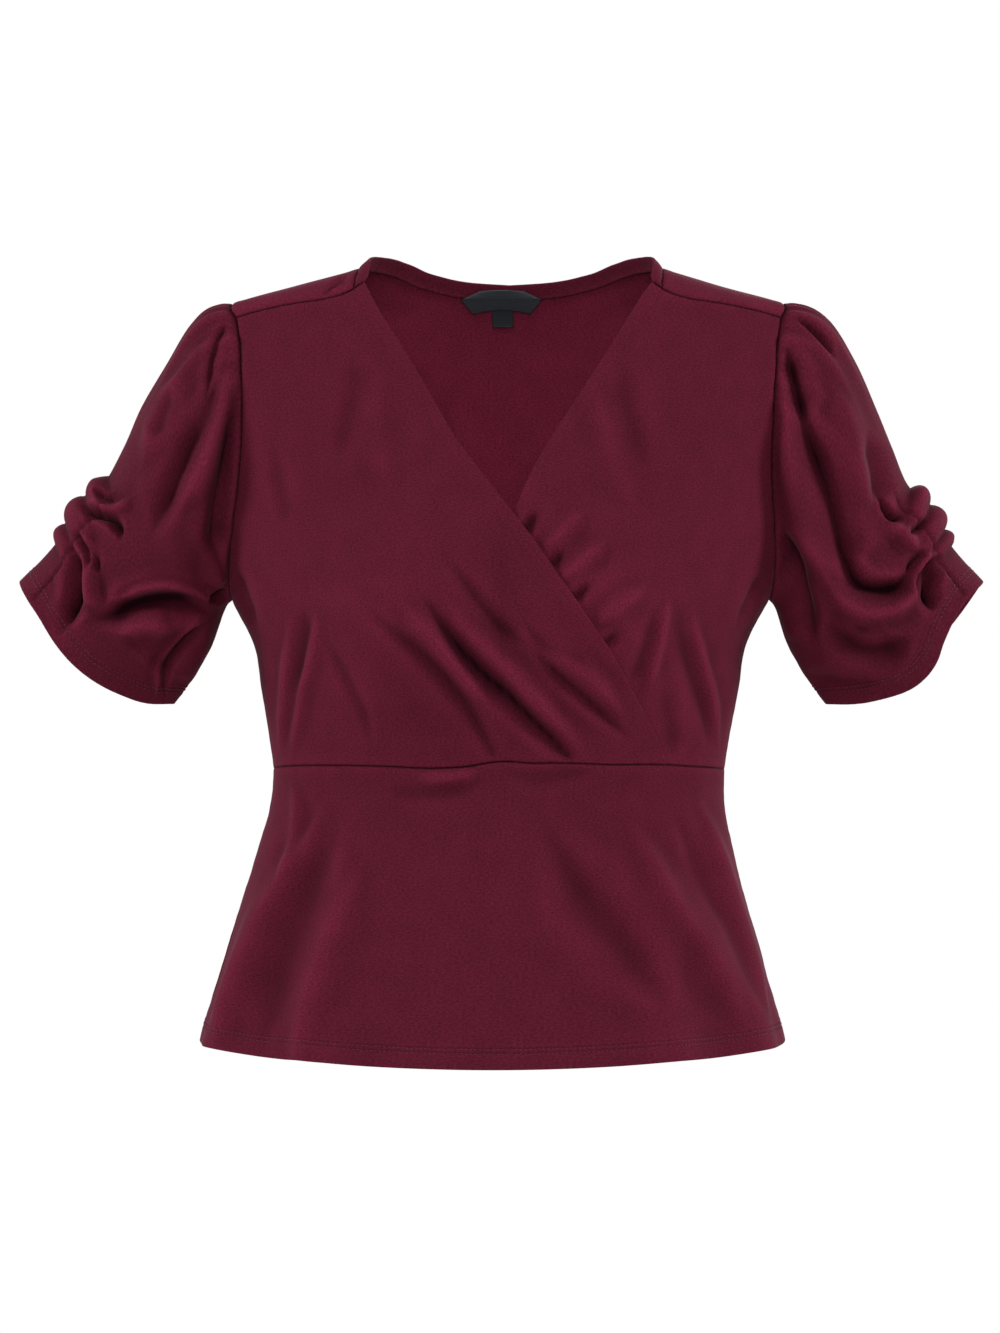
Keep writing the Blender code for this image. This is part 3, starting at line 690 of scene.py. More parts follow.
print(len(OVER_FOLDS), "folds on the over front and", len(UNDER_FOLDS), "on the under front")

# %% How the fronts lie on each other
WALL_BEHIND = 2.4 * MM  # how far the under front lies behind the over front
STEP_LOW, STEP_WIDER = 2 * MM, 23 * MM  # the width of that step at the waist, and what is added above
PLY_HOLLOW, HOLLOW_FROM, HOLLOW_WIDTH = 5 * MM, 3 * MM, 30 * MM  # how much deeper it lies farther in
TROUGH_WIDTH = 4 * MM  # the width over which it takes up the troughs of the cloth above it
FREE_AT, LOOSE_AT = 0.02, 0.06  # shares of the height at which folds and plies are free of the seam
TURN_TO_CORNER = 8  # how late a wrap edge turns to its corner at the shoulder


def under_height(points, z, over_height, free, loose):
    """How far the under front stands out, with the step behind the over front's edge."""
    covered = -WRAP.read("over", z / MM) * MM - points[..., 0]
    step = smooth(1 + covered / (STEP_LOW + STEP_WIDER * loose))
    height = fold_heights(points[..., 0], z, UNDER_FOLDS) * free
    height -= WALL_BEHIND * (0.5 + 0.5 * loose) * step
    height -= PLY_HOLLOW * loose * smooth((covered - HOLLOW_FROM) / HOLLOW_WIDTH)
    return height + np.minimum(over_height, 0) * smooth(covered / TROUGH_WIDTH)


# %% The fronts
def front(edge, own_side):
    """The net of one front. The edge is a column of the wrap table, and the side is 1 or -1."""
    corner_z = shoulder_seam(np.ones(1), FRONT_CORNER)[1][0]
    low_angle = angle_at(WRAP.read(edge, WAIST / MM) * MM, WAIST)
    foot = waist_height(low_angle * own_side)

    def wrap_edge(share):
        z = foot + (corner_z - foot) * share
        off = FRONT_CORNER / MM - WRAP.read(edge, corner_z / MM)
        return angle_at((WRAP.read(edge, z / MM) + off * share**TURN_TO_CORNER) * MM, z), z

    def bottom(share):
        angle = SIDE - SIDE_MARGIN + (low_angle - SIDE + SIDE_MARGIN) * share
        return angle, waist_height(angle * own_side)

    def top(share):
        angle, z = shoulder_seam(share, FRONT_CORNER)
        return angle, z - SEAM

    def outer(share):
        return outer_edge(share, -SIDE, SEAM_TURN, -SIDE_MARGIN)

    def place(u, v):
        angle, z, round_it = stretched(u, v, "front", bottom, top, outer, wrap_edge)
        angle = angle * own_side
        points = torso(angle, z)
        free = smooth(v / FREE_AT)  # no fold may part the cloth from the waist seam
        height = fold_heights(points[..., 0], z, OVER_FOLDS) * free
        if edge == "under":
            height = under_height(points, z, height, free, smooth(v / LOOSE_AT))
        form_normal = torso_normal(angle, z)
        weave = np.stack([round_it * own_side, z], -1)
        return lean(points + form_normal * height[..., None]), weave, form_normal

    return place


# %% Both fronts
WRAP_RIM = ("end", 9 * MM, ())
FRONT_SEAMS = ("bottom", "top", "start")
FRONT_UP = spaced(335)

over = panel(front("over", -1), spaced(230), FRONT_UP, 1, FRONT_SEAMS, [WRAP_RIM])
under = panel(front("under", 1), spaced(215), FRONT_UP, -1, FRONT_SEAMS, [WRAP_RIM])
front_over = make_shell("front_over_jersey", [over])
front_under = make_shell("front_under_jersey", [under])

# %% [markdown]
# ## The back
#
# The back comes forward over each shoulder and meets the fronts in a seam just in front of the ridge.
# A net that bent over the ridge would crowd there, so the two strips in front of it are grids of their
# own. They share their last row of points with the back, and merging the doubles makes one piece of
# cloth of all three.

# %% Folds of the back
SHOULDER_SHARE = 9 / 19  # share of half the back's top edge that is shoulder ridge
BACK_FREE = 40 * MM  # how far down from the shoulders the folds of the back become full
STRIP_FREE, STRIP_FREE_TOP, STRIP_FREE_NECK = 0.1, 0.2, 0.06  # shares at which a strip's folds are free
BACK_FOLDS = (
    (2, 12, 2, (-40, -60), (-60, -128), (-96, -190)),
    (2, 12, 2, (46, -64), (68, -135), (104, -196)),
    (-2, 9, 2, (-150, -196), (-110, -212), (-70, -240)),
    (-1.8, 9, 2, (146, -200), (108, -218), (64, -246)),
    (-2.4, 9, 1.8, (-146, -262), (-96, -284), (-40, -300)),
    (-2.6, 9, 1.8, (150, -258), (102, -286), (50, -308)),
    (-1.8, 8, 1.8, (-150, -300), (-90, -318), (-20, -330)),
    (-1.6, 8, 1.8, (148, -306), (90, -322), (30, -328)),
    (-1.4, 10, 2, (-30, -250), (1, -256), (34, -252)),
)
STRIP_FOLDS = (
    (-2.8, 1.8, 1.6, (-131, -15), (-123, -7.5), (-117.5, -3), (-112, -1.2)),
    (1.6, 2.4, 1.8, (-126, -14), (-118, -9.5), (-110, -4.5)),
)
print(len(BACK_FOLDS), "folds on the back")


# %% The body of the back
def shoulder_ridge(share):
    """(angle, z) along the top of the shoulder, from the armhole to the neck."""
    return SIDE + 0 * share, ARMHOLE_TOP + (NECK_RIDGE - ARMHOLE_TOP) * share


def back_body(u, v):
    """The net of the back up to the shoulder ridge. Its right half mirrors the left."""

    def bottom(share):
        return (SIDE + SIDE_MARGIN) + (SIDE - SIDE_MARGIN) * share, WAIST + 0 * share

    def top(share):
        ridge = shoulder_ridge(np.clip(share / SHOULDER_SHARE, 0, 1))
        past = np.clip((share - SHOULDER_SHARE) / (1 - SHOULDER_SHARE), 0, 1)
        neck = neck_edge(NECK_RIDGE_SHARE + (1 - NECK_RIDGE_SHARE) * past)
        return [np.where(share < SHOULDER_SHARE, a, b) for a, b in zip(ridge, neck)]

    def outer(share):
        return outer_edge(share, 3 * SIDE, SIDE, SIDE_MARGIN)

    def centre(share):
        return 2 * SIDE + 0 * share, WAIST + (neck_edge(np.ones(1))[1] - WAIST) * share

    angle, z, round_it = stretched(1 - np.abs(2 * u - 1), v, "back", bottom, top, outer, centre)
    own_side = np.where(u > 0.5, 1, -1)
    points = torso(angle * own_side, z)
    height = fold_heights(points[..., 0], z, BACK_FOLDS) * smooth(-z / BACK_FREE)
    form_normal = torso_normal(angle * own_side, z)
    points = lean(points + form_normal * height[..., None])
    return points, np.stack([round_it * own_side, z], -1), form_normal


# %% The strips over the shoulders
def shoulder_strip(own_side):
    """The net between the shoulder seam in front and the ridge."""

    def seam(share):
        return shoulder_seam(share, BACK_CORNER)

    def arm(share):
        return armhole(SEAM_TURN + (SIDE - SEAM_TURN) * share)

    def neck(share):
        return neck_edge(NECK_RIDGE_SHARE * share)

    def place(u, v):
        angle, z, _ = stretched(u, v, "front", seam, shoulder_ridge, arm, neck)
        points, form_normal = torso(angle * own_side, z), torso_normal(angle * own_side, z)
        free = smooth(v / STRIP_FREE) * smooth((1 - v) / STRIP_FREE_TOP)
        height = fold_heights(points[..., 0], z, STRIP_FOLDS) * free
        height *= smooth((1 - u) / STRIP_FREE_NECK)
        return lean(points + form_normal * height[..., None]), points[..., :2], form_normal

    return place


# %% The whole back
BACK_SEAMS = ("bottom", "start", "end")
TINY = 1e-6

along_ridge = spaced(95)
along_neck = spaced(78)[1 : 1 - len(NEAR_EDGE)]  # without the close lines, as centre back has no edge
on_ridge, on_neck = along_ridge * SHOULDER_SHARE, SHOULDER_SHARE + (1 - SHOULDER_SHARE) * along_neck
half_top = np.concatenate([on_ridge, on_neck])
back_across = np.concatenate([half_top / 2, [0.5], 1 - half_top[::-1] / 2])
past_ridge = np.flatnonzero(np.abs(back_across - 0.5) <= 0.5 - SHOULDER_SHARE / 2 + TINY)


def neck_line(grid):
    return grid[-1, past_ridge]


back_grids = [panel(back_body, back_across, spaced(340), -1, (*BACK_SEAMS, neck_line))]
for own_side in (-1, 1):
    back_grids.append(panel(shoulder_strip(own_side), along_ridge, spaced(17), -own_side, BACK_SEAMS))
back = make_shell("back_jersey", back_grids)

# %% [markdown]
# ## The neck band
#
# A narrow doubled band stands along the back neck, from one shoulder seam to the other. It starts from
# the same neck edge as the back, so the two always meet. Each point of the edge is carried up along a
# direction that leans inwards, a lot at the shoulders and less at the back.

# %% The neck band
BAND_WIDTH, BAND_LENGTH = 11 * MM, 0.26
BAND_CORNER, BAND_CORNER_SHARE = 3 * MM, 0.04  # its ends are rounded off
BAND_RIM = ("top", 20 * MM, ())  # turned in farther than it is wide, so it is double all over
NECK_MIDDLE = np.array([0, 14 * MM, 0])  # it leans towards here


def band(u, v):
    """The net of the band, from the right shoulder seam round the back to the left one."""
    share = 1 - np.abs(2 * u - 1)
    angle, z = neck_edge(share)
    angle = angle * np.where(u > 0.5, 1, -1)
    foot = torso(angle, z)
    inward = unit(NECK_MIDDLE - foot * [1, 1, 0])
    across = unit(inward * NECK.read("incline", share)[..., None] + [0, 0, 1])
    corner = np.sqrt(1 - np.clip(1 - share / BAND_CORNER_SHARE, 0, 1) ** 2)
    width = BAND_WIDTH - BAND_CORNER * (1 - corner)
    points = lean(foot + across * (SEAM + width * v)[..., None])
    return points, np.stack([u * BAND_LENGTH, v * BAND_WIDTH], -1), torso_normal(angle, z)


band_grid = panel(band, spaced(260, step=1.6), spaced(11), -1, BACK_SEAMS, [BAND_RIM])
neck_band = make_shell("neck_band_jersey", [band_grid], reverse=0.0)

# %% [markdown]
# ## The peplum
#
# The skirt part is cut wider at the hem than at the waist, so its hem falls in soft flutes. A flute is
# a swelling at one angle round the body that grows from nothing at the waist. None of them is quite
# like its neighbour. The hem is turned up and held by two rows of stitches.

# %% Flutes and folds of the peplum
FLUTES = (
    # angle, half-width in degrees, height at the hem in mm
    (-66, 9, 10.0),
    (-36, 8, 10.0),
    (0, 17, -5.0),
    (36, 8, 10.0),
    (62, 9, 10.0),
    (115, 11, 9.0),
    (147, 11, 10.0),
    (180, 14, -7.0),
    (213, 11, 10.0),
    (245, 11, 9.0),
)
PEPLUM_FOLDS = (
    (-0.8, 5, 1.8, (-84, -357), (-59, -362), (-34, -360), (-10, -352)),
    (-0.8, 5, 1.8, (-1, -347), (23, -352), (48, -350), (67, -347)),
    (2.0, 5, 1.9, (-59, -352), (-34, -352), (-12, -347)),
    (4.0, 8, 1.9, (-114, -360), (-138, -412), (-160, -456), (-179, -511), (-188, -544)),
    (-4.0, 10, 2, (-105, -374), (-127, -429), (-147, -484), (-160, -544)),
    (3.0, 9, 2, (-89, -401), (-107, -456), (-125, -511), (-133, -555)),
    (2.0, 4, 1.8, (-147, -349), (-140, -374), (-142, -407), (-147, -429)),
    (-5.0, 13, 2, (29, -379), (62, -432), (92, -467), (122, -516)),
    (4.0, 9, 1.9, (89, -374), (119, -429), (147, -473), (174, -533)),
    (-2.5, 7, 2, (119, -369), (144, -418), (168, -467), (185, -522)),
    (2.5, 6, 1.9, (136, -358), (156, -407), (179, -473), (193, -527)),
)
FLARE = 1.3  # above 1 the flutes stay flat for a while below the waist
PEPLUM_FOLD_SCALE = 1.5  # its folds are this much higher than the table says
print(len(FLUTES), "flutes round the peplum")

# %% The peplum
WEAVE_RADIUS = 0.165  # turns an angle into metres of cloth
HEM_ROWS = (11.2 * MM, 14.4 * MM)
HEM = ("bottom", 16.5 * MM, HEM_ROWS)
SKIRT_SEAMS = ("top", "start", "end")


def peplum(middle):
    """The net of half the skirt, round a middle angle: 0 for the front and a half turn for the back."""

    def place(u, v):
        angle = middle + (2 * u - 1) * (SIDE - SIDE_MARGIN)
        top = waist_height(angle) - SEAM
        hem = HEM_SIDE - HEM_DIP * np.cos(angle) ** 2
        z = hem + (top - hem) * v
        on_form = torso(angle, z)
        height = np.zeros_like(u)
        for flute, width, rise in FLUTES:
            away = (np.degrees(angle) - flute + 180) % 360 - 180
            height += rise * MM * np.exp(-((away / width) ** 2))
        height *= (1 - v) ** FLARE
        if middle == 0:
            height += PEPLUM_FOLD_SCALE * fold_heights(on_form[..., 0], z, PEPLUM_FOLDS)
        form_normal = torso_normal(angle, z)
        points = lean(on_form + form_normal * height[..., None])
        return points, np.stack([angle * WEAVE_RADIUS, z], -1), form_normal

    return place


skirt_across, skirt_up = spaced(560), spaced(200, hem=True)
front_skirt = panel(peplum(0), skirt_across, skirt_up, 1, SKIRT_SEAMS, [HEM])
back_skirt = panel(peplum(2 * SIDE), skirt_across, skirt_up, 1, SKIRT_SEAMS, [HEM])
peplum_front = make_shell("peplum_front_jersey", [front_skirt])
peplum_back = make_shell("peplum_back_jersey", [back_skirt])

# %% [markdown]
# ## The rings of a sleeve
#
# A sleeve is a tube of rings that leave the armhole, drop along the arm and open to a flared hem. Each
# ring is given by its top and its lowest point in front view, its depth in front and behind, and a bow
# that lets its middle hang lower than its ends.
#
# The two sleeves share their rings. What one outline has more than the other is kept in two small
# tables: one for its upper edge and one for how its front hem hangs.

# %% Sizes of the sleeves
SLEEVE = Table(
    ("along", "top_x", "top_z", "low_x", "low_z", "front", "back", "bow"),
    (0.00, 195, -17, 190, -227, 50, 50, 0),
    (0.06, 210, -19, 193, -229, 54, 52, 0),
    (0.15, 226, -29, 196, -234, 57, 54, 0),
    (0.27, 243, -60, 199, -243, 59, 55, 2),
    (0.40, 258, -95, 203, -255, 58, 54, 4),
    (0.52, 271, -122, 207, -264, 55, 52, 6),
    (0.60, 283, -142, 211, -271, 53, 50, 8),
    (0.70, 298, -155, 216, -280, 50, 47, 11),
    (0.80, 311, -174, 221, -287, 47, 44, 14),
    (0.88, 318, -187, 225, -292, 44, 41, 17),
    (0.94, 328, -199.5, 228, -296, 42, 39, 20),
    (1.00, 342, -214.5, 232, -301, 40, 37, 23),
)
SLEEVE_TOP = Table(
    # how much higher than the rings the upper outline of each sleeve runs, in mm
    ("along", "right", "left"),
    (0.00, 0, 0),
    (0.06, -1, 0),
    (0.15, -3, 0.5),
    (0.27, -0.5, 4),
    (0.40, 4.5, 5.5),
    (0.52, 2, 4),
    (0.60, 0, 0),
    (1.00, 0, 0),
)
HEM_FRONT = Table(
    # how much further each front hem hangs than its ring, from the inner to the outer end, in mm
    ("share", "right", "left"),
    (-1.00, 0, 0),
    (-0.84, 1.9, 2.2),
    (-0.55, 0.2, 4.1),
    (-0.20, -2, 4.7),
    (0.12, -4.2, -1),
    (0.26, -5.2, -6),
    (0.40, -6.2, -9),
    (0.58, -6.5, -10.5),
    (0.78, -4, -8),
    (1.00, 0, 0),
)
print(len(SLEEVE.keys), "rings from the armhole to the hem")

# %% A ring of a sleeve
HEAD_SHARE = 0.3  # the share of a sleeve that still has something of the armhole's form
BACK_HANG, BACK_HANG_CURVE, BACK_HANG_TILT = 0.8, 1.8, 0.1  # the bow behind is smaller, and tilted
TOP_WAY, HEM_WAY = (0.5, 0, 0.87), (0.62, 0, -0.79)  # out and up from the arm, and down along it
TOP_SPREAD = np.radians(45)
HEM_FROM = 0.6  # the share of a sleeve at which its hem starts to hang
NEAR_ALONG, NEAR_TURN = 0.01, 0.02  # how far apart the points are that give a normal


def sleeve_ring(turn, along):
    """A point of a ring: the turn is 0 in front, and a quarter turn at the top."""
    top = np.stack([SLEEVE.read("top_x", along), SLEEVE.read("top_z", along)], -1) * MM
    low = np.stack([SLEEVE.read("low_x", along), SLEEVE.read("low_z", along)], -1) * MM
    sine, cosine = np.sin(turn), np.cos(turn)
    deep = np.where(cosine > 0, SLEEVE.read("front", along), SLEEVE.read("back", along)) * MM
    behind = BACK_HANG * np.abs(cosine) ** BACK_HANG_CURVE * (1 - BACK_HANG_TILT * sine)
    bow = SLEEVE.read("bow", along) * MM * np.where(cosine > 0, cosine**2, behind)
    outward = unit(top - low)
    flat = (top + low) / 2 + (top - low) / 2 * sine[..., None]
    x, z = flat[..., 0] + outward[..., 1] * bow, flat[..., 1] - outward[..., 0] * bow
    return np.stack([x, -deep * cosine, z], -1)


def sleeve_base(turn, along):
    """The rings, with the first one moved onto the armhole."""
    off = torso(*armhole(turn)) - sleeve_ring(turn, np.zeros_like(along))
    return sleeve_ring(turn, along) + off * (1 - smooth(along / HEAD_SHARE))[..., None]


def sleeve_normal(turn, along):
    """The way straight out of the tube."""
    before, after = np.clip(along - NEAR_ALONG, 0, 1), np.clip(along + NEAR_ALONG, 0, 1)
    down_arm = sleeve_base(turn, after) - sleeve_base(turn, before)
    round_arm = sleeve_base(turn + NEAR_TURN, along) - sleeve_base(turn - NEAR_TURN, along)
    return unit(np.cross(round_arm, down_arm)) * -1


def own_shape(side, turn, along):
    """What one sleeve's outline has beyond the rings: its top edge, and how its front hem hangs."""
    top = SLEEVE_TOP.read(side, along) * np.exp(-(((turn - SIDE) / TOP_SPREAD) ** 2))
    hem = HEM_FRONT.read(side, np.sin(turn)) * (np.cos(turn) > 0)
    hem *= smooth((along - HEM_FROM) / (1 - HEM_FROM))
    return (top[..., None] * TOP_WAY + hem[..., None] * HEM_WAY) * MM


hem_ring = sleeve_ring(ALL_ROUND, np.ones(181))
print("round a sleeve's hem:", round(run_along(hem_ring)[-1] / MM), "mm")

# %% [markdown]
# ## Gathers and ruching
#
# The head of a sleeve is gathered into the armhole: short ridges that start at the seam and die away
# down the sleeve. A drawn-up seam runs down the outer arm, and the cloth that it gathers stands up in
# three lobes with pressed creases between them. Both are sums of swellings, each with a place, a
# width and a height, because a maker's gathers are never all alike.

# %% Sizes of the gathers
LOBES_AT, LOBES_BACK, LOBES_FRONT = np.radians((80, 55, 36))
LOBE_FULLNESS = 0.6  # under 1 a lobe is broad with narrow creases beside it
# Each lobe: where it starts and ends along the sleeve, and its height in mm.
RIGHT_LOBES = ((0.59, 0.69, 8.5), (0.69, 0.79, 8.5), (0.79, 0.875, 6.0))
LEFT_LOBES = ((0.635, 0.72, 8.0), (0.72, 0.81, 8.5), (0.81, 0.885, 6.0))
HEAD_GATHERS = (
    # angle round the armhole, half-width, reach down the sleeve, height in mm
    (28, 4, 0.12, 1.6),
    (38, 4, 0.14, 2.4),
    (47, 4.5, 0.22, 4.2),
    (56, 3, 0.12, 2.6),
    (65, 5, 0.26, 3.4),
    (75, 3, 0.10, 1.6),
    (83, 4.5, 0.16, 1.6),
    (91, 3, 0.10, 1.2),
    (100, 5, 0.20, 2.2),
    (110, 3, 0.10, 2.2),
    (118, 4.5, 0.20, 4.2),
    (127, 3, 0.10, 1.8),
    (136, 4.5, 0.18, 3.2),
)
HEAD_SEWN = 0.03  # the share of a sleeve that the seam holds flat
RUCHED_SEAM, GROOVE_TURN, GATHER_TURN = np.radians((48, 1.5, 6))  # the last two are spreads
RUCHED_GROOVE, RUCHED_GATHER = 2.2 * MM, 0.4 * MM
DRAWN_FROM, DRAWN_START, DRAWN_END = 0.55, 0.06, 0.03  # where the seam is drawn up, and how softly
GATHER_LONG, GATHER_SHORT = 0.041, 0.026  # two wavelengths that keep the small gathers uneven
print(len(HEAD_GATHERS), "gathers at the head of each sleeve")


# %% Gathers and ruching
def gathered_head(turn, along):
    """The short ridges below the armhole seam."""
    height = np.zeros_like(turn)
    for gather, width, reach, rise in HEAD_GATHERS:
        fade = smooth(along / HEAD_SEWN) * np.exp(-((along / reach) ** 2))
        height += rise * MM * fade * np.exp(-(((np.degrees(turn) - gather) / width) ** 2))
    return height


def ruching(turn, along, lobes):
    """The lobes, and the groove with its small gathers along the drawn-up seam."""
    spread = np.where(turn > LOBES_AT, LOBES_BACK, LOBES_FRONT)
    height = np.zeros_like(turn)
    for start, end, rise in lobes:
        through = np.clip((along - start) / (end - start), 0, 1)
        height += rise * MM * np.sin(np.pi * through) ** LOBE_FULLNESS
    height *= np.exp(-(((turn - LOBES_AT) / spread) ** 2))
    away = turn - RUCHED_SEAM
    drawn = smooth((along - DRAWN_FROM) / DRAWN_START) * smooth((1 - along) / DRAWN_END)
    height -= RUCHED_GROOVE * drawn * np.exp(-((away / GROOVE_TURN) ** 2))
    gathers = np.sin(2 * np.pi * along / GATHER_SHORT) + 0.5 * np.sin(2 * np.pi * along / GATHER_LONG)
    return height + RUCHED_GATHER * drawn * gathers * np.exp(-((away / GATHER_TURN) ** 2))


# %% [markdown]
# ## The folds of the sleeves
#
# From the lobes soft folds hang in U shapes across the front of each sleeve, and the same happens at
# the back. The folds of the front are drawn in front view, outward from the body's middle, and fade
# where the tube turns away. The back has a table of its own, which both sleeves share.

# %% Folds of the sleeves
RIGHT_SLEEVE_FOLDS = (
    (-3.6, 2.4, 1.5, (197, -30), (201, -40), (206, -54), (209, -72), (212, -92)),
    (-6.5, 8, 1.7, (205, -61), (206, -96), (219, -123), (228, -144), (237, -165), (247, -188)),
    (6, 7, 1.8, (193, -61), (203, -99), (210, -127), (220, -151), (233, -176)),
    (-10, 7, 1.6, (187, -61), (192, -104), (195, -137), (198, -165), (199, -188), (199, -214)),
    (4, 6, 1.8, (189, -179), (197, -193), (200, -211), (198, -221)),
    (4, 8, 2, (224, -61), (235, -85), (245, -109), (255, -141)),
    (-4, 5, 1.8, (232, -75), (240, -99), (245, -120)),
    (-5.4, 2.1, 1.4, (273, -157), (281, -156), (283, -151)),
    (-8.2, 2.8, 1.4, (298, -160), (289, -167), (276, -171), (269, -178), (266, -188)),
    (4.6, 2.8, 1.7, (289, -160), (277, -165), (266, -162), (258, -157)),
    (-5.4, 2.4, 1.4, (304, -180), (295, -186), (290, -198), (289, -209)),
    (-4.6, 2.4, 1.5, (290, -186), (285, -197), (281, -211)),
    (3.6, 2.4, 1.7, (297, -179), (288, -191), (285, -204)),
    (-11, 5, 1.5, (306, -186), (299, -202), (297, -218), (301, -237), (305, -251)),
    (6, 5, 1.7, (294, -193), (291, -212), (286, -226), (279, -238)),
    (-10, 7, 1.6, (288, -244), (271, -239), (255, -232), (234, -229), (215, -232), (201, -238)),
    (5.4, 2.8, 1.6, (281, -232), (264, -227), (248, -221), (231, -219), (215, -222), (199, -230)),
    (5, 8, 2, (269, -254), (256, -247), (241, -245), (227, -249)),
    (-5, 2.4, 1.5, (206, -230), (199, -225), (192, -219)),
    (-3.1, 1.8, 1.5, (200, -236), (216, -255), (233, -276), (237, -300)),
    (2.9, 2.4, 1.7, (206, -234), (221, -252), (239, -275), (242, -300)),
    (-5, 7, 1.8, (206, -244), (220, -256), (234, -270), (241, -284)),
)
LEFT_SLEEVE_FOLDS = (
    (-5.4, 2.1, 1.4, (198, -27), (212, -37), (222, -48), (229, -59)),
    (-9, 6, 1.5, (194, -47), (197, -64), (203, -87), (208, -106)),
    (
        -11, 8, 1.6, (200, -78), (208, -109), (218, -132), (228, -157), (236, -183), (240, -200),
        (247, -215),
    ),
    (-9, 5.5, 1.5, (235, -186), (241, -205), (250, -218), (264, -222), (278, -218), (290, -202)),
    (6, 8, 1.9, (191, -61), (194, -103), (199, -144), (206, -174), (220, -202), (235, -225)),
    (6, 6, 1.8, (222, -207), (235, -226), (249, -236), (268, -237), (284, -228), (295, -212)),
    (-10, 8, 1.7, (187, -169), (195, -190), (205, -218), (213, -240), (221, -259)),
    (-7, 8, 1.8, (226, -240), (239, -256), (256, -265), (274, -262), (289, -251)),
    (-1.8, 2.1, 1.4, (246, -245), (252, -248), (258, -247)),
    (-4, 7, 1.9, (252, -106), (256, -127), (261, -148), (265, -162)),
    (-7.2, 2.4, 1.4, (261, -151), (266, -164), (273, -171), (281, -167)),
    (-5.4, 2.1, 1.4, (280, -184), (289, -178), (299, -169)),
    (5, 5, 1.8, (259, -179), (273, -179), (284, -188), (289, -195)),
    (-7.2, 2.8, 1.4, (310, -197), (299, -202), (293, -214), (291, -230)),
    (3.6, 2.4, 1.7, (303, -195), (293, -202), (287, -212)),
    (-4.6, 2.4, 1.5, (298, -193), (288, -200), (281, -211)),
    (-10, 5, 1.5, (307, -197), (301, -209), (300, -225), (305, -238)),
    (4, 9, 2, (223, -69), (236, -103), (245, -134), (255, -169)),
    (-3, 6, 1.8, (212, -278), (230, -284), (251, -287), (272, -284)),
)
SLEEVE_BACK_FOLDS = (
    (-8, 8, 1.5, (298, -182), (260, -218), (218, -176)),
    (-9, 7, 1.5, (302, -200), (299, -226), (294, -250)),
    (-5, 5, 1.4, (290, -164), (270, -180), (250, -206)),
    (-6, 8, 1.6, (200, -56), (212, -112), (226, -170)),
    (-4.5, 8, 1.8, (226, -60), (238, -106), (248, -150)),
    (-6.5, 8, 1.6, (194, -140), (203, -194), (214, -244)),
    (-5, 7, 1.6, (288, -236), (248, -254), (214, -232)),
    (-4, 3, 1.3, (280, -146), (272, -154), (258, -158)),
)
print(len(RIGHT_SLEEVE_FOLDS), "folds on the right sleeve,", len(LEFT_SLEEVE_FOLDS), "on the left one")

# %% A sleeve
FRONT_FOLD_SCALE = 1.2  # its folds are this much higher than the tables say
FACING = 0.4  # how far the cloth has to face the front, or the back, for its folds to be full
SLEEVE_FREE, SLEEVE_SEAM = 0.05, 0.02  # shares of a sleeve at which folds and seam margin end
AHEAD = 0.04  # a little way down the sleeve, which tells how it leaves the armhole
SLEEVE_WEAVE = (0.40, 0.20)  # metres of cloth round a sleeve and along it


def sleeve(own_side, lobes, folds):
    """The net of a sleeve, from its hem up to the armhole and all the way round."""
    side = "left" if own_side > 0 else "right"
    mirror = [own_side, 1, 1]

    def place(u, v):
        turn, along = -SIDE + 4 * SIDE * u, 1 - v
        points, normals = sleeve_base(turn, along), sleeve_normal(turn, along)
        points += own_shape(side, turn, along)
        x, z = points[..., 0], points[..., 2]
        height = FRONT_FOLD_SCALE * fold_heights(x, z, folds) * smooth(-normals[..., 1] / FACING)
        height += fold_heights(x, z, SLEEVE_BACK_FOLDS) * smooth(normals[..., 1] / FACING)
        height *= smooth(along / SLEEVE_FREE)
        height += gathered_head(turn, along) + ruching(turn, along, lobes)
        ahead = sleeve_base(turn, np.full_like(along, AHEAD)) - sleeve_base(turn, 0 * along)
        margin = SEAM * (1 - smooth(along / SLEEVE_SEAM))
        points += normals * height[..., None] + unit(ahead) * margin[..., None]
        at_hole = (1 - smooth(along / SLEEVE_FREE))[..., None]
        form_normal = unit(normals + (torso_normal(*armhole(turn)) - normals) * at_hole)
        weave = np.stack([u, v], -1) * SLEEVE_WEAVE
        return lean(points * mirror), weave, form_normal * mirror

    return place


# %% Both sleeves
SLEEVE_SEAMS = ("top", "start")
GATHERED_SHADE = 0.14  # painted shade that darkens the drawn-up sleeves a little all over

sleeve_up = spaced(190, hem=True, step=1.45)
sleeve_round = np.linspace(0, 1, 250)
right_net = sleeve(-1, RIGHT_LOBES, RIGHT_SLEEVE_FOLDS)
left_net = sleeve(1, LEFT_LOBES, LEFT_SLEEVE_FOLDS)
right = panel(right_net, sleeve_round, sleeve_up, -1, SLEEVE_SEAMS, [HEM], closed=True)
left = panel(left_net, sleeve_round, sleeve_up, 1, SLEEVE_SEAMS, [HEM], closed=True)
for grid in (right, left):
    grid["shade"] += GATHERED_SHADE
sleeve_right = make_shell("sleeve_right_jersey", [right])
sleeve_left = make_shell("sleeve_left_jersey", [left])

# %% [markdown]
# ## Stitches
#
# A turned hem on jersey is sewn with a twin needle: two parallel rows of short straight stitches on the
# outside. Each stitch is a small stretched ball that lies half sunk in the groove. There are hundreds
# of them, so the ball has few faces and is made once. Copying it is much faster than making it again.

# %% One stitch
STITCH, STITCH_GAP, THREAD = 2.3 * MM, 0.8 * MM, 0.28 * MM
PITCH = STITCH + STITCH_GAP

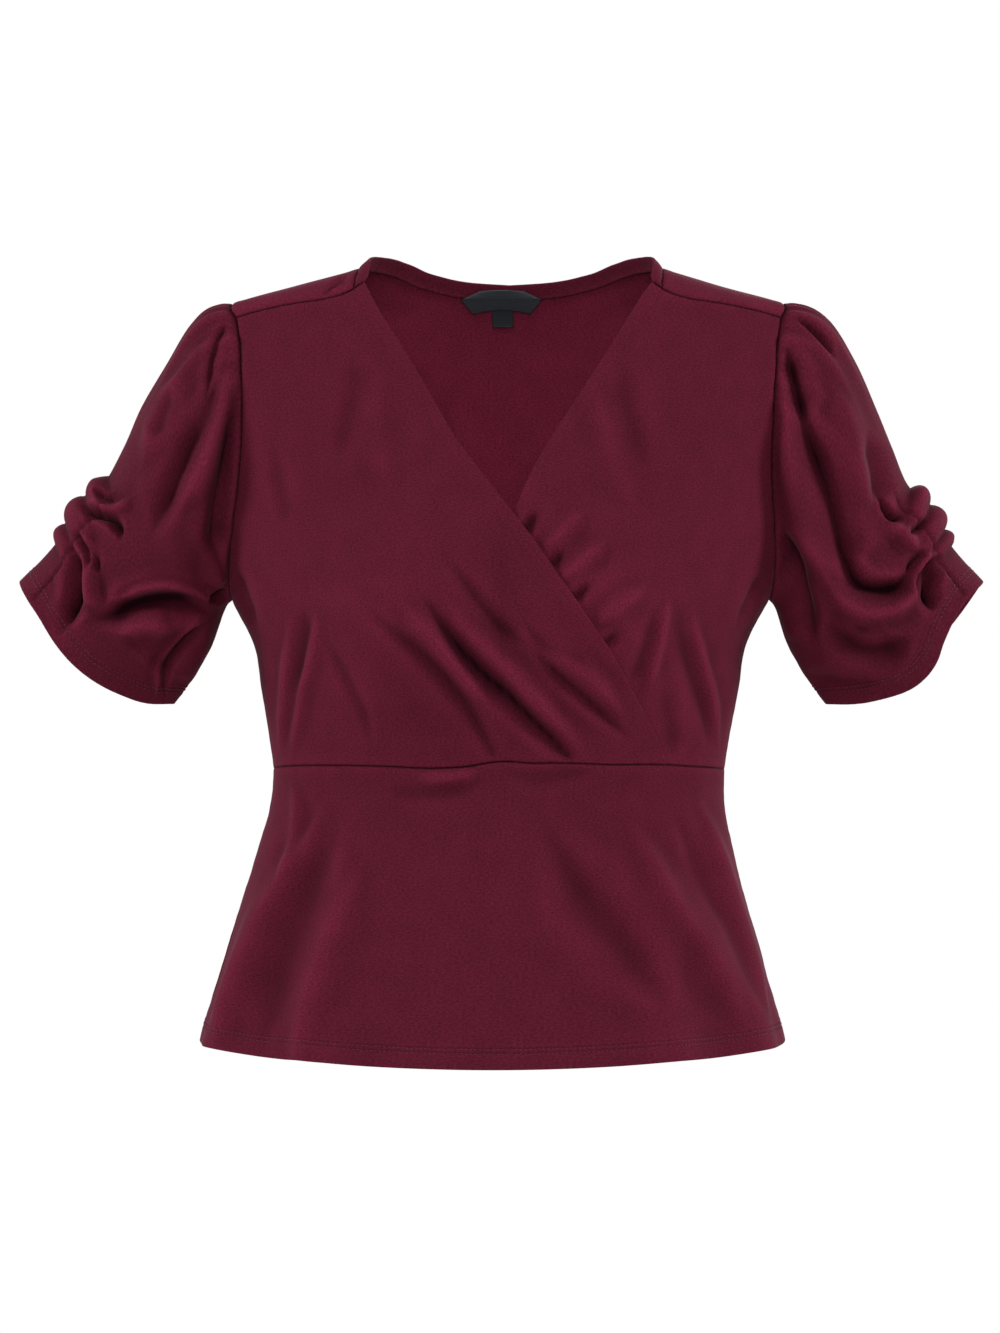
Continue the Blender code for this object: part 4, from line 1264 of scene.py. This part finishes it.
one_stitch = bmesh.new()
bmesh.ops.create_uvsphere(one_stitch, u_segments=6, v_segments=5, radius=1)
bmesh.ops.scale(one_stitch, verts=one_stitch.verts, vec=(STITCH / 2, THREAD, THREAD))
stitch_shape = bpy.data.meshes.new("stitch_shape")
one_stitch.to_mesh(stitch_shape)
one_stitch.free()
print("a stitch has", len(stitch_shape.polygons), "faces")

# %% Rows of stitches
ROW_ENDS = 1 * MM  # left free at both ends of a row
STANDS = 0.25  # how far a stitch stands out of the groove, as a share of its thread
BETWEEN_ROWS = 12  # the grid line between the two rows


def line_at(grid, away):
    """The line that runs across a grid, at a distance up from its first row."""
    line = []
    for column in np.swapaxes(grid, 0, 1):
        run = run_along(column)
        line.append([np.interp(away, run, column[:, i]) for i in range(3)])
    return np.array(line)


def sew(mesh, line, outward):
    """Lay stitches along a line, each with its length along it and its top outwards."""
    run = run_along(line)
    marks = np.arange(ROW_ENDS, run[-1] - ROW_ENDS, PITCH)

    def at(values, mark):
        return Vector([np.interp(mark, run, values[:, i]) for i in range(3)])

    for mark in marks:
        ahead = (at(line, mark + STITCH / 2) - at(line, mark - STITCH / 2)).normalized()
        side = at(outward, mark).cross(ahead).normalized()
        turned = Matrix((ahead, side, ahead.cross(side))).transposed().to_4x4()
        turned.translation = at(line, mark) + ahead.cross(side) * STANDS * THREAD
        laid = stitch_shape.copy()
        laid.transform(turned)
        mesh.from_mesh(laid)
        bpy.data.meshes.remove(laid)
    return len(marks)


def hem_stitches(name, grids):
    """Both rows of stitches round the hems of some grids, as one piece."""
    mesh = bmesh.new()
    sewn = 0
    for grid in grids:
        outward = -unit(grid["wall"][BETWEEN_ROWS])
        for row in HEM_ROWS:
            sewn += sew(mesh, line_at(grid["outer"], row), outward)
    print(name, sewn, "stitches")
    return finished_piece(name, mesh)


peplum_stitches = hem_stitches("peplum_hem_stitches", [front_skirt, back_skirt])
sleeve_stitches = hem_stitches("sleeve_hem_stitches", [right, left])

# %% [markdown]
# ## The label
#
# A woven label is a stiff satin ribbon. Its ends are folded under to a point and sewn down, so its
# middle stands a little off the cloth. A short loop for the size hangs under it. Both are left blank.
# Each is a small grid laid just inside the back, which `make_shell` turns into a ribbon.

# %% Sizes of the labels
LABEL_WALL = 0.8 * MM
LABEL_MIDDLE, LABEL_HEIGHT = 1.1 * MM, 15.0 * MM
LABEL_OFF, LABEL_BOW = 3.1 * MM, 0.9 * MM  # its distance from the back, and what its middle adds
WIDTHS_AT, LABEL_WIDTHS = (0, 0.61, 1), (41, 59, 31)  # up its height; the widest place is the point
NECK_LEAN = 0.4  # above the neck edge it leans in with the band
TAB_WIDTH, TAB_HEIGHT, TAB_LOW, TAB_MIDDLE = 15.3 * MM, 13.4 * MM, -28.0 * MM, 2.0 * MM


# %% The labels
def behind_label(x, z, off):
    """A point at a distance inside the back, or inside the band above it."""
    edge = neck_edge(np.ones(1))[1]
    below = np.minimum(z, edge)
    y = torso(2 * SIDE - angle_at(x, below), below)[..., 1]
    return np.stack([x, y - NECK_LEAN * np.maximum(z - edge, 0) - off, z], -1)


def main_label(u, v):
    """A ribbon that is widest a little above its middle, where its ends come to a point."""
    out = np.abs(2 * u - 1)
    wide = np.interp(v, WIDTHS_AT, LABEL_WIDTHS) * MM
    low, high = -15.7 - 3.2 * out**1.6, -2.2 - 0.9 * out**2  # its long edges droop towards the ends
    off = LABEL_OFF + LABEL_BOW * np.sin(np.pi * u) ** 0.7
    points = behind_label((u - 0.5) * wide + LABEL_MIDDLE, (low + (high - low) * v) * MM, off)
    return points, np.stack([(u - 0.5) * wide, v * LABEL_HEIGHT], -1)


def size_tab(u, v):
    """A flat loop that swells a little in its middle."""
    off = (2.4 + 0.6 * np.sin(np.pi * v) - 0.5 * v) * MM
    points = behind_label((u - 0.5) * TAB_WIDTH + TAB_MIDDLE, TAB_LOW + TAB_HEIGHT * v, off)
    return points, np.stack([u * TAB_WIDTH, v * TAB_HEIGHT], -1)


def ribbon(place, across, up):
    """A plain grid with a wall, which needs no seams or rims."""
    u, v = np.meshgrid(np.linspace(0, 1, across), np.linspace(0, 1, up))
    points, weave = place(u, v)
    inward = grid_normals(points, closed=False) * LABEL_WALL
    flat = np.zeros(u.shape)
    return {"outer": points, "wall": inward, "weave": weave, "hollow": flat, "shade": flat}


label_main = make_shell("label_ribbon", [ribbon(main_label, 61, 19)])
label_size = make_shell("label_size_tab", [ribbon(size_tab, 17, 11)])

# %% [markdown]
# ## Making a material
#
# A material is a small tree of nodes. Two helpers keep the trees short: one adds any node, sets its
# settings and fills or links its inputs, and the other starts a material with its roughness and sheen.
# Colours are written as on a screen, and one function turns them into the light that Blender mixes.

# %% Helpers for materials
PER_MM = (1000, 1000, 1000)  # turns a weave map in metres of cloth into millimetres
PLAIN = "#ffffff"


def hex_colour(code):
    """A colour as it is written for a screen, in linear light."""
    parts = [int(code[i : i + 2], 16) / 255 for i in (1, 3, 5)]
    return (*[p / 12.92 if p <= 0.04045 else ((p + 0.055) / 1.055) ** 2.4 for p in parts], 1)


def add_node(tree, kind, settings=None, **inputs):
    """A node with its settings, and its inputs set to numbers or linked to other sockets."""
    made = tree.nodes.new(kind)
    for name, value in (settings or {}).items():
        setattr(made, name, value)
    for name, value in inputs.items():
        key = int(name[1:]) if name[1:].isdigit() else name.replace("_", " ")
        if isinstance(value, bpy.types.NodeSocket):
            tree.links.new(value, made.inputs[key])
        else:
            made.inputs[key].default_value = value
    return made


def new_material(name, roughness, sheen=0.0, sheen_tint=PLAIN, sheen_roughness=0.5):
    """A material, its node tree and its shader."""
    material = bpy.data.materials.new(name)
    material.use_nodes = True
    shader = material.node_tree.nodes["Principled BSDF"]
    shader.inputs["Roughness"].default_value = roughness
    shader.inputs["Sheen Weight"].default_value = sheen
    shader.inputs["Sheen Roughness"].default_value = sheen_roughness
    shader.inputs["Sheen Tint"].default_value = hex_colour(sheen_tint)
    print("material", name)
    return material, material.node_tree, shader


# %% [markdown]
# ## Burgundy jersey
#
# Single jersey is knitted from cotton with a little elastane. Its face is matt, with a faint nap that
# catches light at a glancing angle, which is what sheen is for. The dye takes unevenly on the yarn, so
# the colour wanders a little over millimetres and over centimetres. Each shell also carries a map of its
# own hollows, and the dye is darkened in them as painted shade and lightened on the crests as a painted
# highlight.
#
# The weave map of every panel is in metres of cloth, so a pattern has the size of the real thing.

# %% The dye
# Single jersey, cotton with elastane, piece-dyed burgundy.
jersey, tree, shader = new_material("single_jersey_burgundy", 0.9, 0.14, "#c08c9c", 0.3)
shader.inputs["Specular IOR Level"].default_value = 0.08
place = add_node(tree, "ShaderNodeUVMap", {"uv_map": "weave"}).outputs["UV"]
millimetres = add_node(tree, "ShaderNodeMapping", Vector=place, Scale=PER_MM).outputs[0]
crosswise = add_node(tree, "ShaderNodeMapping", Vector=millimetres, Scale=(0.55, 1, 1)).outputs[0]
yarn = add_node(tree, "ShaderNodeTexNoise", Vector=crosswise, Scale=0.95, Detail=3.0, Roughness=0.6)
yarn = yarn.outputs["Fac"]
mottle = add_node(tree, "ShaderNodeTexNoise", Vector=millimetres, Scale=0.05, Detail=3.0).outputs["Fac"]
mottle = add_node(tree, "ShaderNodeMath", {"operation": "MULTIPLY"}, _0=mottle, _1=0.15).outputs[0]
blend = add_node(tree, "ShaderNodeMath", {"operation": "MULTIPLY_ADD"}, _0=yarn, _1=0.85, _2=mottle)
dye = add_node(tree, "ShaderNodeValToRGB", Fac=blend.outputs[0])
for element, position, colour in zip(dye.color_ramp.elements, (0.36, 0.64), ("#521526", "#6e2036")):
    element.position, element.color = position, hex_colour(colour)

# %% Painted shade and highlight from the hollows
# Painted shade darkens the dye in a hollow and a painted highlight lightens it on a crest. The inside is
# paler than the face, partly the knit's own paler back and partly painted light.
hollow = add_node(tree, "ShaderNodeAttribute", {"attribute_name": "hollow"}).outputs["Fac"]
inside = add_node(tree, "ShaderNodeAttribute", {"attribute_name": "inside"}).outputs["Fac"]
painted_shade_and_highlight = add_node(tree, "ShaderNodeMapRange", _0=hollow, _1=-0.5, _2=0.9, _3=1.27, _4=0.12).outputs[0]
purl_and_painted_light = add_node(tree, "ShaderNodeMapRange", _0=inside, _1=0.0, _2=1.0, _3=1.0, _4=2.1).outputs[0]
tone = add_node(tree, "ShaderNodeMath", {"operation": "MULTIPLY"}, _0=painted_shade_and_highlight, _1=purl_and_painted_light).outputs[0]
scale = {"operation": "SCALE"}
dye_with_painted_light = add_node(tree, "ShaderNodeVectorMath", scale, _0=dye.outputs["Color"], Scale=tone).outputs[0]
tree.links.new(dye_with_painted_light, shader.inputs["Base Color"])

# %% The knit
# Wales of a fine jersey are 0.7 mm apart; they are drawn 2.2 mm apart so that they show at all.
upright = {"wave_type": "BANDS", "bands_direction": "X"}
knit = {"Scale": 0.143, "Distortion": 0.6, "Detail": 1.0}
wales = add_node(tree, "ShaderNodeTexWave", upright, Vector=millimetres, **knit).outputs["Fac"]
relief = add_node(tree, "ShaderNodeMath", {"operation": "ADD"}, _0=wales, _1=yarn).outputs[0]
bump = add_node(tree, "ShaderNodeBump", Height=relief, Strength=0.2, Distance=0.12 * MM)
tree.links.new(bump.outputs["Normal"], shader.inputs["Normal"])

# %% [markdown]
# ## Thread and ribbon
#
# Hems are sewn with polyester thread in the same dye, which is a little glossier than the cotton; a
# fine noise stands for its twist. The labels are woven from black polyester, with fine ribs across
# them, so they get a satin shine over a small bump.

# %% Sewing thread
# Polyester sewing thread, dyed burgundy, with a fine twist.
thread, tree, shader = new_material("polyester_thread_burgundy", 0.55)
place = add_node(tree, "ShaderNodeTexCoord").outputs["Object"]
twist = add_node(tree, "ShaderNodeTexNoise", Vector=place, Scale=900.0)
tone = add_node(tree, "ShaderNodeValToRGB", Fac=twist.outputs["Fac"])
for element, colour in zip(tone.color_ramp.elements, ("#481424", "#5f1d32")):
    element.color = hex_colour(colour)
tree.links.new(tone.outputs["Color"], shader.inputs["Base Color"])

# %% Label ribbon
# Damask-woven polyester label ribbon: cross ribs, drawn 1 mm apart, under a satin shine.
satin, tree, shader = new_material("woven_satin_black", 0.42, 0.1, "#8a8f96")
place = add_node(tree, "ShaderNodeUVMap", {"uv_map": "weave"}).outputs["UV"]
millimetres = add_node(tree, "ShaderNodeMapping", Vector=place, Scale=PER_MM).outputs[0]
level = {"wave_type": "BANDS", "bands_direction": "Y"}
ribs = add_node(tree, "ShaderNodeTexWave", level, Vector=millimetres, Scale=0.31).outputs["Fac"]
tone = add_node(tree, "ShaderNodeValToRGB", Fac=ribs)
for element, colour in zip(tone.color_ramp.elements, ("#191d24", "#2b3038")):
    element.color = hex_colour(colour)
tree.links.new(tone.outputs["Color"], shader.inputs["Base Color"])
bump = add_node(tree, "ShaderNodeBump", Height=ribs, Strength=0.4, Distance=0.1 * MM)
tree.links.new(bump.outputs["Normal"], shader.inputs["Normal"])

# %% [markdown]
# ## Each piece on the body
#
# Every piece rides on the one body, takes its finish from a slot and hides the plain walls that it
# replaces. The table of the jersey also lists how large each sheet of cloth was cut, before it was sewn
# and filled out.

# %% Pieces of jersey
SEWN_PIECES = (
    # piece, model node, width and length of the flat cut in m, its area in m2, how it is held
    (front_over, "front_over", (0.31, 0.39), 0.087, "draped"),
    (front_under, "front_under", (0.30, 0.39), 0.083, "draped"),
    (back, "back", (0.46, 0.41), 0.168, "draped"),
    (neck_band, "neck_band", (0.285, 0.019), None, "folded"),
    (sleeve_right, "sleeve_right", (0.46, 0.30), 0.087, "gathered"),
    (sleeve_left, "sleeve_left", (0.46, 0.30), 0.087, "gathered"),
    (peplum_front, "peplum_front", (0.58, 0.24), 0.111, "draped"),
    (peplum_back, "peplum_back", (0.58, 0.24), 0.109, "draped"),
)


def cloth_area(piece):
    """Area of one side of a shell, in square metres."""
    return sum(face.area for face in piece.data.polygons) / 2


for piece, node, flat, area, held in SEWN_PIECES:
    piece.data.materials.append(jersey)
    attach(piece, "root")
    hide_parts(node)
    print(piece.name, "worn area", round(cloth_area(piece), 4))

# %% Labels and stitches
RIBBONS = (
    # piece, model node, width and length of the flat cut in m
    (label_main, "label_main", (0.070, 0.0150)),
    (label_size, "label_size", (0.0155, 0.0136)),
)
for piece, node, flat in RIBBONS:
    piece.data.materials.append(satin)
    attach(piece, "root")
    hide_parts(node)
for piece in (peplum_stitches, sleeve_stitches):
    piece.data.materials.append(thread)
    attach(piece, "root")
print(len(SEWN_PIECES), "pieces of jersey,", len(RIBBONS), "of ribbon, and two of stitches")

# %% [markdown]
# ## The floor and the air
#
# The top hangs in the air as if worn, high over a plain pale floor. The camera sees white surroundings,
# but they light the cloth only a little, so that the folds keep their shade. A light path node tells
# the rays that come from the camera from all the others.

# %% Floor
FLOOR_Z, FLOOR_HALF = -1.30, 1.6

floor_mesh = bmesh.new()
bmesh.ops.create_grid(floor_mesh, x_segments=1, y_segments=1, size=FLOOR_HALF)
bmesh.ops.translate(floor_mesh, verts=floor_mesh.verts, vec=(0, 0, FLOOR_Z))
floor_data = bpy.data.meshes.new("floor")
floor_mesh.to_mesh(floor_data)
floor_mesh.free()
floor = put("floor", floor_data)
# Seamless backdrop paper, matt and not quite white.
paper, tree, shader = new_material("white_backdrop_paper", 0.9)
shader.inputs["Base Color"].default_value = hex_colour("#f2f2f2")
floor_data.materials.append(paper)

# %% Surroundings
AMBIENT = 0.18
WHITE = hex_colour(PLAIN)

world = bpy.data.worlds.new("studio")
bpy.context.scene.world = world
world.use_nodes = True
studio = world.node_tree
dim = studio.nodes["Background"]
dim.inputs["Color"].default_value = WHITE
dim.inputs["Strength"].default_value = AMBIENT
bright = add_node(studio, "ShaderNodeBackground", Color=WHITE, Strength=1.0).outputs["Background"]
seen = add_node(studio, "ShaderNodeLightPath").outputs["Is Camera Ray"]
mixed = add_node(studio, "ShaderNodeMixShader", _0=seen, _1=dim.outputs["Background"], _2=bright)
studio.links.new(mixed.outputs["Shader"], studio.nodes["World Output"].inputs["Surface"])
print("the surroundings give", AMBIENT, "of full light")

# %% [markdown]
# ## Lights and camera
#
# Soft lights stand on both sides, a little above the top, so that every fold has a lit and a shaded
# flank. Two weaker ones in front fill the middle, and three behind brighten the rims. The camera
# stands level in front, with a long lens that keeps the sleeves from looking larger than they are.

# %% Lights
LIGHTS = (
    # name, place, what it is aimed at, width in m, power in W
    ("front", (0, -2.6, 0.1), (0, 0, -0.25), 0.5, 16),
    ("front_high", (-0.3, -2.0, 1.7), (0, 0, -0.2), 0.5, 11),
    ("left", (-2.3, -0.6, 0.7), (0, 0, -0.3), 0.6, 33),
    ("right", (2.3, -0.7, 0.7), (0, 0, -0.3), 0.6, 33),
    ("back_left", (-1.9, 1.2, 0.6), (0, 0, -0.3), 0.6, 13),
    ("back_right", (1.9, 1.2, 0.6), (0, 0, -0.3), 0.6, 20),
    ("behind", (0.3, 2.4, 1.0), (0, 0, -0.3), 0.8, 18),
)
for name, place, aim, width, power in LIGHTS:
    lamp = bpy.data.lights.new(name, "AREA")
    lamp.energy, lamp.size = power, width
    holder = put(name, lamp)
    holder.location = place
    holder.rotation_euler = (Vector(aim) - Vector(place)).to_track_quat("-Z", "Y").to_euler()
    holder.visible_camera = False
print(len(LIGHTS), "soft lights")

# %% Camera
CAMERA_AWAY, CAMERA_Z = 2.8, -0.2744
LENS, SENSOR = 106.5, 36

camera_data = bpy.data.cameras.new("camera")
camera_data.lens, camera_data.sensor_width = LENS, SENSOR
camera = put("camera", camera_data)
camera.location = (0, -CAMERA_AWAY, CAMERA_Z)
camera.rotation_euler = (np.pi / 2, 0, 0)
bpy.context.scene.camera = camera
bpy.context.scene.view_settings.view_transform = "Standard"
print("the camera stands", CAMERA_AWAY, "m away")
